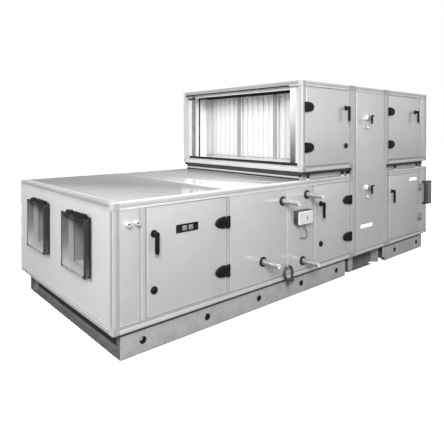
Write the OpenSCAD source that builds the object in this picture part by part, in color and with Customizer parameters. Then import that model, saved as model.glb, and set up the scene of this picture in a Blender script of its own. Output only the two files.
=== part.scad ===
// Two-deck modular air handling unit with a heat-recovery section.
// Millimetres, +Z up. The long front face looks towards -Y, the fan
// outlets of the lower deck look towards -X. The origin is the centre of
// the outer box at floor level.

/* [Casing] */
// Depth of the casing, front face to back face
casing_w = 1940; // [1800:10:2200]
// Height of one deck
deck_h = 900; // [880:5:940]
// Gap between the lower and the upper deck
deck_gap = 80; // [70:5:100]
// Length of the long lower deck on the left
long_deck_l = 2880; // [2860:5:2900]
// Left end of the upper inlet module, from the left end of the casing
inlet_x = 2004; // [1980:2:2030]
// Right end of the heat-recovery section
wheel_end = 3607; // [3600:1:3620]
// Right end of the casing
right_end = 4690; // [4680:5:4740]
// Thickness of a sandwich panel
panel_t = 46; // [40:1:48]
// Gap around a hinged door
door_gap = 6; // [5:0.5:8]

/* [Frame profiles] */
// Depth of the frame profiles, seen on the end faces
prof_d = 52; // [50:1:56]
// Height of the horizontal frame profiles
rail_h = 55; // [50:1:58]
// Width of the posts at the free ends
post_w = 52; // [48:1:56]
// Width of the posts where two sections meet
joint_post_w = 66; // [60:1:68]
// Seam between two sections
seam = 4; // [2:0.5:6]

/* [Base] */
// Height of the base under the casing
base_h = 200; // [180:5:240]
// Setback of the base from the front and the back face
base_in = 40; // [30:1:50]
// Height of the dark packing strip between base and casing
packer_h = 25; // [24:1:30]
// Radius of a lifting hole
lift_r = 24; // [15:1:28]
// Thickness of the base steel
base_t = 6; // [4:0.5:10]

/* [Doors] */
// Height of the upper hinge and of the handle above the underside of a deck
hinge_hi = 640; // [600:5:680]
// Height of the lower hinge above the underside of a deck
hinge_lo = 242; // [200:5:280]
// Height of a handle's spindle above the underside of a deck
handle_z = 650; // [620:5:690]
// Height of a round lock above the underside of a deck
lock_z = 246; // [200:2:280]
// Length of a lever from its spindle
lever_l = 140; // [110:5:160]
// How far the hinge pin stands in front of the door
pin_out = 16; // [14:0.5:20]
// Radius of the hinge pin
pin_r = 5; // [4:0.5:6]
// Radial play of pins and spindles
play = 0.1; // [0.05:0.05:0.15]

/* [Connections] */
// How far the pipe stubs stand out of the front face
pipe_out = 190; // [150:5:200]
// Outer radius of a pipe stub
pipe_r = 24.15; // [21.2:0.05:24.15]
// How far a fan outlet stands out of the end face
outlet_out = 50; // [40:2:60]
// Outer width of a fan outlet flange
outlet_w = 440; // [400:5:460]
// Outer height of a fan outlet flange
outlet_h = 435; // [400:5:450]

/* [Hidden] */
$fn = 48;
W = casing_w;
z1 = deck_h;                       // top of the lower deck
z2 = deck_h + deck_gap;            // underside of the upper deck
z3 = 2 * deck_h + deck_gap;        // top of the upper deck
xa = long_deck_l - seam / 2;       // right end of the long deck
xw0 = long_deck_l + seam / 2;      // left end of the heat-recovery section
xw1 = wheel_end - seam / 2;        // right end of the heat-recovery section
xc0 = wheel_end + seam / 2;        // left end of the right sections
xc1 = right_end;
x_mid = (right_end + outlet_out - outlet_out) / 2;
y_mid = (W - pipe_out) / 2;
pd = prof_d;
// Front joint lines of the long deck
m1a = 202; m1b = 264;              // mullion left of the fan door
m2a = 1020; m2b = 1058;            // hinge mullion right of the fan door
s3 = 1783;                         // seam between the two coil panels
m4a = 2158; m4b = 2196;            // mullion left of the filter door
// Mullion right of the doors of the right sections
m5a = 4482; m5b = 4518;
// Fan outlet centres
fan_y = [545, 1365];
fan_z = 537;
// Handle and lock positions along X
hx_fan = 322; hx_filter = 2292; hx_inlet = 2738; hx_exhaust = 4346; hx_intake = 3722;
// Door spans along X
d_fan = [m1b + door_gap, m2a - door_gap];
d_filter = [m4b + door_gap, xa - joint_post_w - door_gap];
d_inlet = [inlet_x + post_w + door_gap, xa - joint_post_w - door_gap];
d_right = [xc0 + joint_post_w + door_gap, m5a - door_gap];
// Hinge axes along X, in the middle of each door gap
ax_fan = m2a - door_gap / 2;
ax_filter = xa - joint_post_w - door_gap / 2;
ax_inlet = inlet_x + post_w + door_gap / 2;
ax_exhaust = xc0 + joint_post_w + door_gap / 2;
ax_intake = m5a - door_gap / 2;
// Filter wall, measured from the open end of its module
filt_in = 346;
// Length of the filter pockets behind it
pocket_l = 300;

// ---- helpers ---------------------------------------------------------

// Casing coordinates (left end, front face, underside) to the model frame
module place() translate([-x_mid, -y_mid, base_h]) children();
module bx(x0, x1, y0, y1, z0, z1) translate([x0, y0, z0]) cube([x1 - x0, y1 - y0, z1 - z0]);
module cyl_x(x0, x1, y, z, r) translate([x0, y, z]) rotate([0, 90, 0]) cylinder(h = x1 - x0, r = r);
module cyl_y(x, y0, y1, z, r) translate([x, y0, z]) rotate([-90, 0, 0]) cylinder(h = y1 - y0, r = r);
module cyl_z(x, y, z0, z1, r) translate([x, y, z0]) cylinder(h = z1 - z0, r = r);
// Mirror about the casing's middle plane, front to back
module back() translate([0, W, 0]) mirror([0, 1, 0]) children();

// Post-and-rail frame of one section: separate bars, wl and wr wide posts
module casing_frame(x0, x1, za, zb, wl, wr, mullions = [], back_mullions = []) {
  for (x = [[x0, x0 + wl], [x1 - wr, x1]], y = [[0, pd], [W - pd, W]])
    bx(x[0], x[1], y[0], y[1], za, zb);
  for (y = [[0, pd], [W - pd, W]], z = [[za, za + rail_h], [zb - rail_h, zb]])
    bx(x0 + wl + 0.5, x1 - wr - 0.5, y[0], y[1], z[0], z[1]);
  for (x = [[x0, x0 + wl], [x1 - wr, x1]], z = [[za, za + rail_h], [zb - rail_h, zb]])
    bx(x[0], x[1], pd + 0.5, W - pd - 0.5, z[0], z[1]);
  for (m = mullions) bx(m[0], m[1], 0, pd, za + rail_h + 0.5, zb - rail_h - 0.5);
  for (m = back_mullions) bx(m[0], m[1], W - pd, W, za + rail_h + 0.5, zb - rail_h - 0.5);
}

// Fixed front or back panel between two rails, set back 2 mm
module wall_panel(x0, x1, za, zb) bx(x0 + 1, x1 - 1, 2, 2 + panel_t, za + rail_h + 1, zb - rail_h - 1);

// Roof or floor panel between the rails
module flat_panel(x0, x1, za, zb) bx(x0, x1, pd + 1, W - pd - 1, za, zb);

// Door slab, flush with the frame
module door_slab(d, za) bx(d[0], d[1], 0, panel_t, za + rail_h + door_gap, za + deck_h - rail_h - door_gap);

// Channel rail along X: web at y0, flanges towards +Y
module channel_x(x0, x1, y0, depth, h) {
  bx(x0, x1, y0, y0 + base_t, -base_h, -base_h + h);
  bx(x0, x1, y0, y0 + depth, -base_h, -base_h + base_t);
  bx(x0, x1, y0, y0 + depth, -base_h + h - base_t, -base_h + h);
}

// Fixed half of a hinge: two knuckles, the pin and a plate on the post.
// s is +1 where the door lies to the right of the pin, -1 to the left.
module hinge_base(x, z, s) {
  cyl_z(x, -pin_out, z - 48, z + 48, pin_r);
  for (k = [[-48, -25], [25, 48]]) {
    cyl_z(x, -pin_out, z + k[0], z + k[1], 11);
    bx(min(x, x - s * 26), max(x, x - s * 26), -pin_out - 6, 0, z + k[0], z + k[1]);
  }
  bx(min(x - s * 16, x - s * 26), max(x - s * 16, x - s * 26), -pin_out - 6, 0, z - 48, z + 48);
}

// Door half of a hinge: middle knuckle and a D-shaped leaf, w long
module hinge_leaf(x, z, s, w) {
  difference() {
    union() {
      cyl_z(x, -pin_out, z - 24, z + 24, 11);
      bx(min(x + s * 4, x + s * 20), max(x + s * 4, x + s * 20), -pin_out - 6, 0, z - 24, z + 24);
      bx(min(x + s * 17, x + s * (w - 48)), max(x + s * 17, x + s * (w - 48)), -18, 0, z - 48, z + 48);
      cyl_y(x + s * (w - 48), -18, 0, z, 48);
    }
    cyl_z(x, -pin_out, z - 30, z + 30, pin_r + play);
  }
}

// Slim leaf of the plain hinges
module slim_leaf(x, z, s) {
  difference() {
    union() {
      cyl_z(x, -pin_out, z - 24, z + 24, 11);
      bx(min(x + s * 4, x + s * 44), max(x + s * 4, x + s * 44), -pin_out - 4, 0, z - 24, z + 24);
    }
    cyl_z(x, -pin_out, z - 30, z + 30, pin_r + play);
  }
}

// Round rosette that a handle turns in
module rosette(x, z) difference() {
  cyl_y(x, -8, 0, z, 27);
  cyl_y(x, -20, 10, z, 8 + play);
}

// Round lock with a square socket
module lock(x, z) difference() {
  union() { cyl_y(x, -12, 0, z, 28); cyl_y(x, -18, -11, z, 19); }
  bx(x - 6, x + 6, -30, -12, z - 6, z + 6);
}

// Lever handle: spindle, hub and hanging lever
module lever(x, z) {
  cyl_y(x, -30, -1, z, 8);
  cyl_y(x, -54, -9, z, 19);
  bx(x - 14.5, x + 14.5, -54, -40, z - lever_l + 14.5, z);
  cyl_y(x, -54, -40, z - lever_l + 14.5, 14.5);
}

// One fan outlet, drawn at the left end with its flange towards -X
module fan_outlet(y, z) {
  hw = outlet_w / 2; hh = outlet_h / 2; fl = 22; wall = 4;
  difference() {
    union() {
      bx(-outlet_out, -outlet_out + 10, y - hw, y + hw, z - hh, z + hh);
      bx(-outlet_out + 5, 46, y - hw + fl - wall, y + hw - fl + wall, z - hh + fl - wall, z + hh - fl + wall);
      bx(-8, 2, y - hw, y + hw, z - hh, z + hh);
    }
    bx(-outlet_out - 5, 60, y - hw + fl, y + hw - fl, z - hh + fl, z + hh - fl);
    for (sy = [-1, 1], sz = [-1, 1])
      cyl_x(-outlet_out - 5, -outlet_out + 15, y + sy * (hw - 9), z + sz * (hh - 9), 4.5);
  }
}

// Housing of one fan behind its outlet: four throat plates and the closed
// scroll with the impeller in it
scroll_x = 470; scroll_z = 430; scroll_r = 322; throat_x = 250;
module fan_housing(y) {
  hw = outlet_w / 2 - 22; t = 5;
  zb = fan_z - outlet_h / 2 + 22; zt = fan_z + outlet_h / 2 - 22;
  bx(50, throat_x - 0.5, y - hw, y + hw, zt - t, zt);
  bx(50, throat_x - 0.5, y - hw, y + hw, zb, zb + t);
  for (s = [-hw, hw - t]) bx(50, throat_x - 0.5, y + s, y + s + t, zb + t + 0.5, zt - t - 0.5);
  difference() {
    union() {
      cyl_y(scroll_x, y - hw, y + hw, scroll_z, scroll_r);
      bx(throat_x, scroll_x - 2, y - hw, y + hw, zb, zt);
    }
    bx(0, throat_x, y - hw - 10, y + hw + 10, 0, deck_h);
  }
}

// Mirror an end piece of the lower left deck to the upper right end
module to_right_end() translate([right_end, 0, z2]) mirror([1, 0, 0]) children();

// Filter wall with three cells, at x = filt_in from an open left end at z = 0
cell_y = [372, 964, 1556];
cell_w = 530; cell_h = 736;
module filter_wall() difference() {
  bx(filt_in, filt_in + 25, pd + 2, W - pd - 2, rail_h + 2, deck_h - rail_h - 2);
  for (y = cell_y) bx(filt_in - 5, filt_in + 30, y - cell_w / 2, y + cell_w / 2, (deck_h - cell_h) / 2, (deck_h + cell_h) / 2);
}
// Jamb plates just inside the posts of an open end, with a bar between
// them at the top and at the bottom
jamb_w = 142;
module jambs() {
  for (y = [[pd + 1, pd + 1 + jamb_w], [W - pd - 1 - jamb_w, W - pd - 1]])
    bx(46, 50, y[0], y[1], rail_h + 1, deck_h - rail_h - 1);
  for (z = [rail_h + 13, deck_h - rail_h - 29])
    bx(46, 50, pd + 1.5 + jamb_w, W - pd - 1.5 - jamb_w, z, z + 16);
}
module filter_packs() for (y = cell_y)
  bx(filt_in + 27, filt_in + 27 + pocket_l, y - cell_w / 2 + 4, y + cell_w / 2 - 4, (deck_h - cell_h) / 2 + 4, (deck_h + cell_h) / 2 - 4);

// Ring swept along a route: 8-sided tube
function unit(v) = v / norm(v);
function tangent(p, i) = unit(p[min(i + 1, len(p) - 1)] - p[max(i - 1, 0)]);
function ring(p, i, r) = let (t = tangent(p, i),
    a = unit(cross(t, [0.3, 0.9, 0.1])), b = cross(t, a))
  [for (k = [0:7]) p[i] + r * (cos(45 * k) * a + sin(45 * k) * b)];
module tube(p, r) {
  n = len(p);
  pts = [for (i = [0:n - 1]) each ring(p, i, r)];
  polyhedron(points = pts, convexity = 4, faces = concat(
    [[for (k = [0:7]) k]],
    [for (i = [0:n - 2], k = [0:7]) [8 * i + k, 8 * (i + 1) + k, 8 * (i + 1) + (k + 1) % 8, 8 * i + (k + 1) % 8]],
    [[for (k = [7:-1:0]) 8 * (n - 1) + k]]));
}
function bez(a, b, c, d, t) = a * pow(1 - t, 3) + b * 3 * t * pow(1 - t, 2) + c * 3 * t * t * (1 - t) + d * pow(t, 3);

// ---- base ------------------------------------------------------------

rail_top = base_h - packer_h;
lift_long = [257, 849, 1441, 2033, 2625];
lift_right = [3885, 4472];

module base_long() color([0.62, 0.63, 0.64]) place() {
  for (b = [0, 1]) if (b == 0) base_front_long(); else back() base_front_long();
  // end channel, open outwards
  bx(134, 140, base_in + 61, W - base_in - 61, -base_h, -packer_h);
  bx(80, 137, base_in + 61, W - base_in - 61, -base_h, -base_h + base_t);
  bx(80, 137, base_in + 61, W - base_in - 61, -packer_h - base_t, -packer_h);
  // cross members
  for (x = [1000, 1900, 2723]) bx(x, x + 60, base_in + 61, W - base_in - 61, -base_h + 60, -packer_h);
}
module base_front_long() difference() {
  channel_x(80, 2789, base_in, 60, rail_top);
  for (x = lift_long) cyl_y(x, base_in - 10, base_in + 20, -base_h + 95, lift_r);
}

module base_wheel() color([0.55, 0.56, 0.57]) place() {
  base_side_wheel();
  back() base_side_wheel();
  for (x = [2930, 3410]) bx(x, x + 50, base_in + 102, W - base_in - 102, -base_h + 60, -packer_h);
}
module base_side_wheel() {
  // channel open to the outside, a closed post at its left and a slanting bracket at its right
  bx(2916, 3490, base_in + 94, base_in + 100, -base_h, -packer_h);
  bx(2916, 3400, base_in + 42, base_in + 97, -base_h, -base_h + base_t);
  bx(2916, 3480, base_in + 42, base_in + 97, -packer_h - base_t, -packer_h);
  bx(2916, 2922, base_in + 42, base_in + 97, -base_h, -packer_h);
  bx(2916, 3002, base_in + 40, base_in + 46, -base_h, -packer_h);
  translate([0, 0, -base_h]) linear_extrude(rail_top)
    polygon([[3476, base_in + 97], [3540, base_in + 32], [3546, base_in + 32], [3546, base_in + 35], [3487, base_in + 97]]);
}

module base_right() color([0.62, 0.63, 0.64]) place() {
  base_front_right();
  back() base_front_right();
  // cross members, the left one as tall as the rails
  bx(3700, 3760, base_in + 61, W - base_in - 61, -base_h, -packer_h);
  bx(4560, 4620, base_in + 61, W - base_in - 61, -base_h + 60, -packer_h);
}
module base_front_right() difference() {
  channel_x(3612, 4630, base_in, 60, rail_top);
  for (x = lift_right) cyl_y(x, base_in - 10, base_in + 20, -base_h + 95, lift_r);
  // chamfered lower left corner
  translate([3612, base_in - 10, -base_h]) rotate([-90, 0, 0]) linear_extrude(90)
    polygon([[-1, 1], [46, 1], [-1, -70]]);
}

module base_packers() color([0.13, 0.13, 0.14]) place() {
  for (x = [[100, 2780], [2830, 3460], [3630, 4610]], y = [[60, 96], [W - 96, W - 60]])
    bx(x[0], x[1], y[0] + (x[0] == 2830 ? (y[0] < W / 2 ? 30 : -30) : 0), y[1] + (x[0] == 2830 ? (y[0] < W / 2 ? 30 : -30) : 0), -packer_h, 0);
  for (x = [[90, 130], [4570, 4610]]) bx(x[0], x[1], 110, W - 110, -packer_h, 0);
}

// ---- frames ----------------------------------------------------------

frame_col = [0.66, 0.67, 0.68];
module frame_long() color(frame_col) place()
  casing_frame(0, xa, 0, z1, post_w, joint_post_w,
    [[m1a, m1b], [m2a, m2b], [m4a, m4b]], [[m2a, m2b], [m4a, m4b]]);
module frame_inlet() color(frame_col) place() casing_frame(inlet_x, xa, z2, z3, post_w, joint_post_w);
module frame_wheel() color(frame_col) place() casing_frame(xw0, xw1, 0, z3, joint_post_w - 2, joint_post_w - 2);
module frame_intake() color(frame_col) place()
  casing_frame(xc0, xc1, 0, z1, joint_post_w, post_w, [[m5a, m5b]], [[m5a, m5b]]);
module frame_exhaust() color(frame_col) place()
  casing_frame(xc0, xc1, z2, z3, joint_post_w, post_w, [[m5a, m5b]], [[m5a, m5b]]);

// ---- fixed panels ----------------------------------------------------

panel_col = [0.80, 0.81, 0.82];
jp = joint_post_w;
// Spans of the roof and floor panels of each section
long_spans = [[post_w + 1, m2a + 18], [m2a + 20, inlet_x - 4], [inlet_x - 2, xa - jp - 1]];
module top_panels() color(panel_col) place() {
  for (s = long_spans) flat_panel(s[0], s[1], z1 - panel_t, z1);
  flat_panel(inlet_x + post_w + 1, xa - jp - 1, z3 - panel_t, z3);
  flat_panel(xw0 + jp - 1, xw1 - jp + 1, z3 - panel_t, z3);
  for (z = [z1, z3]) flat_panel(xc0 + jp + 1, xc1 - post_w - 1, z - panel_t, z);
}
module floor_panels() color(panel_col) place() {
  for (s = long_spans) flat_panel(s[0], s[1], 2, 2 + panel_t);
  flat_panel(inlet_x + post_w + 1, xa - jp - 1, z2 + 2, z2 + 2 + panel_t);
  flat_panel(xw0 + jp - 1, xw1 - jp + 1, 2, 2 + panel_t);
  for (z = [0, z2]) flat_panel(xc0 + jp + 1, xc1 - post_w - 1, z + 2, z + 2 + panel_t);
}
module back_panels() color(panel_col) place() back() {
  wall_panel(post_w, m2a, 0, z1);
  wall_panel(m2b, s3 - 1, 0, z1);
  wall_panel(s3 + 1, m4a, 0, z1);
  wall_panel(m4b, xa - jp, 0, z1);
  wall_panel(inlet_x + post_w, xa - jp, z2, z3);
  wall_panel(xw0 + jp - 2, xw1 - jp + 2, 0, z3);
  for (z = [0, z2]) {
    wall_panel(xc0 + jp, m5a, z, z + deck_h);
    wall_panel(m5b, xc1 - post_w, z, z + deck_h);
  }
}
module outlet_cut(y) bx(-10, 60, y - outlet_w / 2 + 17, y + outlet_w / 2 - 17, fan_z - outlet_h / 2 + 17, fan_z + outlet_h / 2 - 17);
module end_panel() difference() {
  bx(2, 2 + panel_t, pd + 1, W - pd - 1, rail_h + 1, deck_h - rail_h - 1);
  for (y = fan_y) outlet_cut(y);
}
module end_panel_left() color(panel_col) place() end_panel();
module end_panel_right() color(panel_col) place() to_right_end() end_panel();
module front_panels() color(panel_col) place() {
  wall_panel(post_w, m1a, 0, z1);
  wall_panel(m2b, s3 - 1, 0, z1);
  wall_panel(s3 + 1, m4a, 0, z1);
  for (z = [0, z2]) wall_panel(m5b, xc1 - post_w, z, z + deck_h);
}
module front_panel_wheel() color(panel_col) place() wall_panel(xw0 + jp - 2, xw1 - jp + 2, 0, z3);
module wheel_side_panels() color(panel_col) place() {
  bx(xw0 + 2, xw0 + 2 + panel_t, pd + 1, W - pd - 1, rail_h + 1, z3 - rail_h - 1);
  bx(xw1 - 2 - panel_t, xw1 - 2, pd + 1, W - pd - 1, rail_h + 1, z3 - rail_h - 1);
}

// ---- doors -----------------------------------------------------------

fit_col = [0.03, 0.03, 0.03];
module fan_door() color(panel_col) place() door_slab(d_fan, 0);
module filter_door() color(panel_col) place() door_slab(d_filter, 0);
module inlet_door() color(panel_col) place() door_slab(d_inlet, z2);
module exhaust_door() color(panel_col) place() door_slab(d_right, z2);
module intake_door() color(panel_col) place() door_slab(d_right, 0);

module fan_door_fittings() color(fit_col) place() {
  for (z = [hinge_hi, hinge_lo]) hinge_leaf(ax_fan, z, -1, 122);
  rosette(hx_fan, handle_z);
  lock(hx_fan, lock_z);
  bx(515, 722, -4, 0, 621, 684);
}
module filter_door_fittings() color(fit_col) place() {
  for (z = [hinge_hi, hinge_lo]) hinge_leaf(ax_filter, z, -1, 122);
  rosette(hx_filter, handle_z);
  lock(hx_filter, lock_z);
}
module inlet_door_fittings() color(fit_col) place() {
  for (z = [hinge_hi, hinge_lo]) hinge_leaf(ax_inlet, z2 + z, 1, 110);
  rosette(hx_inlet, z2 + handle_z);
  lock(hx_inlet, z2 + lock_z);
}
module exhaust_door_fittings() color(fit_col) place() {
  for (z = [hinge_hi, hinge_lo]) hinge_leaf(ax_exhaust, z2 + z, 1, 110);
  rosette(hx_exhaust, z2 + handle_z);
}
module intake_door_fittings() color([0.6, 0.6, 0.6]) place() {
  for (z = [hinge_hi, hinge_lo]) slim_leaf(ax_intake, z, -1);
  rosette(hx_intake, handle_z);
}
module fan_door_handle() color(fit_col) place() lever(hx_fan, handle_z);
module filter_door_handle() color(fit_col) place() lever(hx_filter, handle_z);
module inlet_door_handle() color(fit_col) place() lever(hx_inlet, z2 + handle_z);
module exhaust_door_handle() color(fit_col) place() lever(hx_exhaust, z2 + handle_z);
module intake_door_handle() color(fit_col) place() lever(hx_intake, handle_z);

module hinge_bases() color(fit_col) place() for (z = [hinge_hi, hinge_lo]) {
  hinge_base(ax_fan, z, -1);
  hinge_base(ax_filter, z, -1);
  hinge_base(ax_inlet, z2 + z, 1);
  hinge_base(ax_exhaust, z2 + z, 1);
  hinge_base(ax_intake, z, -1);
}

// ---- fittings on the front -------------------------------------------

module test_points() color("white") place() for (x = [109, 178]) difference() {
  cyl_y(x, -34, 2, 747, 19);
  cyl_y(x, -40, -14, 747, 10);
}

// Pipe stubs of the two coils: [x, z]
pipes = [[1714, 737], [2070, 764], [1449, 228], [2006, 130]];
module pipe_stubs() color([0.85, 0.85, 0.86]) place() for (p = pipes) difference() {
  cyl_y(p[0], -pipe_out, -12, p[1], pipe_r);
  cyl_y(p[0], -pipe_out - 5, -30, p[1], pipe_r - 3.2);
}
module pipe_rosettes() color(fit_col) place() for (p = pipes) cyl_y(p[0], -12, 2, p[1], 43);

module thermostat_box() color([0.92, 0.92, 0.92]) place() {
  bx(1873, 2087, -64, 2, 495, 627);
  cyl_z(1990, -32, 480, 496, 9);
}
// Lead from the box down and back into the panel
lead = concat([[1990, -32, 480], [1990, -32, 472]],
  [for (i = [1:8]) bez([1990, -32, 472], [1992, -32, 440], [2034, -32, 430], [2034, -32, 388], i / 8)],
  [for (a = [15:15:90]) [2004 + 30 * cos(a), -32, 388 - 30 * sin(a)]],
  [for (a = [15:15:90]) [2004 - 32 * sin(a), -32 * cos(a), 358]], [[1972, 2, 358]]);
module thermostat_lead() color([0.3, 0.3, 0.3]) place() tube(lead, 5);

// Siphon of the condensate drain: a leaning loop in front of the base
trap_c = [1757, 76]; trap_r = 56; trap_y = -30; trap_x = 1754;
module drain_trap() color([0.2, 0.2, 0.2]) place() {
  cyl_z(trap_c[0] + trap_r, trap_y, -24, trap_c[1] + 3, 14);
  translate([trap_c[0], trap_y, trap_c[1]]) rotate([90, 0, 0])
    rotate_extrude(angle = 215) translate([trap_r, 0]) circle(r = 12.5);
  translate([1708.6, trap_y, 47]) rotate([0, 141.5, 0]) cylinder(h = 78, r = 11.5);
  cyl_z(trap_x, trap_y, -40, -14, 14);
  cyl_y(trap_c[0] + trap_r, trap_y, 46, -12.5, 11);
}

// Latches of the heat-recovery panel: pale boss with a lever on its end
module wheel_latches() color([0.9, 0.9, 0.9]) place() for (z = [1530, 740]) {
  cyl_y(3150, -62, 2, z, 33);
  cyl_y(3150, -80, -61, z, 12);
  bx(3140, 3192, -80, -66, z + 14, z + 36);
  bx(3137, 3163, -80, -66, z - 66, z + 36);
  cyl_y(3166, -30, 2, z - 106, 20);
}

// Ribbed box at the right front corner, on two ears
module drive_box() color([0.25, 0.25, 0.26]) place() {
  bx(4620, 4740, -51, -8, 395, 709);
  for (z = [[398, 420], [684, 706]]) bx(4560, 4650, -8, 0, z[0], z[1]);
  bx(4625, 4690, -9, 0, 410, 690);
}

// ---- between the decks -----------------------------------------------

module stack_rails() color([0.12, 0.12, 0.13]) place() {
  for (y = [[14, 54], [W - 54, W - 14]]) {
    bx(inlet_x + 16, 2868, y[0], y[1], z2 - 28, z2);
    bx(3640, 4572, y[0], y[1], z2 - 28, z2);
  }
  bx(inlet_x + 16, inlet_x + 56, 55, W - 55, z2 - 44, z2);
  bx(4634, 4674, 55, W - 55, z2 - 44, z2);
}
module stack_feet() color(fit_col) place() {
  for (x = [2126, 2721, 3874, 4459], y = [16, W - 44]) bx(x - 14, x + 14, y, y + 28, z1, z2 - 28);
  for (y = [16, W - 44]) {
    bx(2810, 2830, y, y + 28, z1, z2 - 28);
    bx(2830, 2862, y, y + 28, z2 - 56, z2 - 29);
  }
}
module stack_curbs() color([0.86, 0.86, 0.86]) place() {
  for (y = [[80, 110], [W - 110, W - 80]]) {
    bx(inlet_x + 58, 2870, y[0], y[1], z1, z2);
    bx(3640, 4632, y[0], y[1], z1, z2);
  }
  bx(inlet_x + 18, inlet_x + 48, 60, W - 60, z1, z2 - 45);
  bx(4642, 4672, 60, W - 60, z1, z2 - 45);
}

// ---- air path --------------------------------------------------------

module fan_outlets() color([0.3, 0.3, 0.31]) place() {
  for (y = fan_y) { fan_outlet(y, fan_z); to_right_end() fan_outlet(y, fan_z); }
}
module fan_housings() color([0.75, 0.76, 0.77]) place() {
  for (y = fan_y) { fan_housing(y); to_right_end() fan_housing(y); }
}
module coils() color([0.7, 0.7, 0.72]) place() {
  bx(1180, 1500, pd + 4, W - pd - 4, 52, 844);
  bx(1860, 2010, pd + 4, W - pd - 4, 52, 844);
}
module filter_frames() color([0.7, 0.7, 0.7]) place() {
  translate([inlet_x, 0, z2]) filter_wall();
  translate([right_end, 0, 0]) mirror([1, 0, 0]) filter_wall();
}
module filter_pockets() color("white") place() {
  translate([inlet_x, 0, z2]) filter_packs();
  translate([right_end, 0, 0]) mirror([1, 0, 0]) filter_packs();
}

module inlet_jambs() color([0.85, 0.85, 0.85]) place() {
  translate([inlet_x, 0, z2]) jambs();
  translate([right_end, 0, 0]) mirror([1, 0, 0]) jambs();
}

base_long();
base_wheel();
base_right();
base_packers();
frame_long();
frame_inlet();
frame_wheel();
frame_intake();
frame_exhaust();
top_panels();
floor_panels();
back_panels();
end_panel_left();
end_panel_right();
front_panels();
front_panel_wheel();
wheel_side_panels();
fan_door();
fan_door_fittings();
fan_door_handle();
filter_door();
filter_door_fittings();
filter_door_handle();
inlet_door();
inlet_door_fittings();
inlet_door_handle();
exhaust_door();
exhaust_door_fittings();
exhaust_door_handle();
intake_door();
intake_door_fittings();
intake_door_handle();
hinge_bases();
test_points();
pipe_stubs();
pipe_rosettes();
thermostat_box();
thermostat_lead();
drain_trap();
wheel_latches();
drive_box();
stack_rails();
stack_feet();
stack_curbs();
fan_outlets();
fan_housings();
coils();
filter_frames();
filter_pockets();
inlet_jambs();
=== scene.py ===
import math

import bmesh
import bpy
from mathutils import Matrix, Vector, noise


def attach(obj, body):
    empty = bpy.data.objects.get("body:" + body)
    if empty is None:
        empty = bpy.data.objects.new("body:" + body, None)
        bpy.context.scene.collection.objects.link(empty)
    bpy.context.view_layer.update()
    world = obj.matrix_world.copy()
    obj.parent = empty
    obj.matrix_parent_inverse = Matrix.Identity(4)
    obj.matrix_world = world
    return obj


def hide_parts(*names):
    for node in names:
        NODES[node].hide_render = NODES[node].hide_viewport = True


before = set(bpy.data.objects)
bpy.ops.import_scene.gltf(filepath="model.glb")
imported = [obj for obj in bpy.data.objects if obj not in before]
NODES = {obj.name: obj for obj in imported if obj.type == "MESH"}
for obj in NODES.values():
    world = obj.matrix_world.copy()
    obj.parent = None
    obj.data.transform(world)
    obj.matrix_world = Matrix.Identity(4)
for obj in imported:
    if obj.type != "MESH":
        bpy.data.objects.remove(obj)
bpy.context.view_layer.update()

C, S, PI = math.cos, math.sin, math.pi

# The CAD source draws in casing millimetres (left end, front face, underside)
# and shifts them to the middle of the outer box.
OX, OY, OZ = -2.345, -0.875, 0.2


def P(x, y, z):
    return (x / 1000 + OX, y / 1000 + OY, z / 1000 + OZ)


# Sizes shared with the CAD source, mm
W, Z1, Z2, Z3 = 1940, 900, 980, 1880
XA, XW0, XW1, XC0, XC1 = 2878, 2882, 3605, 3609, 4690
XE = 2004
PD, RH, PW, JW, PT = 52, 55, 52, 66, 46
FANY, FANZ = (545, 1365), 537

# ---------------------------------------------------------------------------
# materials
# ---------------------------------------------------------------------------


def _nt(name):
    m = bpy.data.materials.new(name)
    m.use_nodes = True
    nt = m.node_tree
    b = nt.nodes["Principled BSDF"]
    co = nt.nodes.new("ShaderNodeTexCoord")
    return m, nt, b, co.outputs["Object"]


def _noise(nt, vec, scale, detail=3.0, rough=0.55, stretch=None):
    n = nt.nodes.new("ShaderNodeTexNoise")
    n.inputs["Scale"].default_value = scale
    n.inputs["Detail"].default_value = detail
    n.inputs["Roughness"].default_value = rough
    if stretch:
        mp = nt.nodes.new("ShaderNodeMapping")
        mp.inputs["Scale"].default_value = stretch
        nt.links.new(vec, mp.inputs["Vector"])
        vec = mp.outputs["Vector"]
    nt.links.new(vec, n.inputs["Vector"])
    return n.outputs["Fac"]


def _ramp(nt, fac, stops):
    r = nt.nodes.new("ShaderNodeValToRGB")
    e = r.color_ramp.elements
    while len(e) < len(stops):
        e.new(0.5)
    for el, (p, c) in zip(e, stops):
        el.position = p
        el.color = (c[0], c[1], c[2], 1) if hasattr(c, "__len__") else (c, c, c, 1)
    nt.links.new(fac, r.inputs["Fac"])
    return r.outputs["Color"]


def _range(nt, fac, lo, hi, a=0.3, b=0.7):
    r = nt.nodes.new("ShaderNodeMapRange")
    r.inputs["From Min"].default_value = a
    r.inputs["From Max"].default_value = b
    r.inputs["To Min"].default_value = lo
    r.inputs["To Max"].default_value = hi
    nt.links.new(fac, r.inputs["Value"])
    return r.outputs["Result"]


def _bump(nt, b, height, strength, dist, chain=None):
    n = nt.nodes.new("ShaderNodeBump")
    n.inputs["Strength"].default_value = strength
    n.inputs["Distance"].default_value = dist
    nt.links.new(height, n.inputs["Height"])
    if chain is not None:
        nt.links.new(chain, n.inputs["Normal"])
    nt.links.new(n.outputs["Normal"], b.inputs["Normal"])
    return n.outputs["Normal"]


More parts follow.
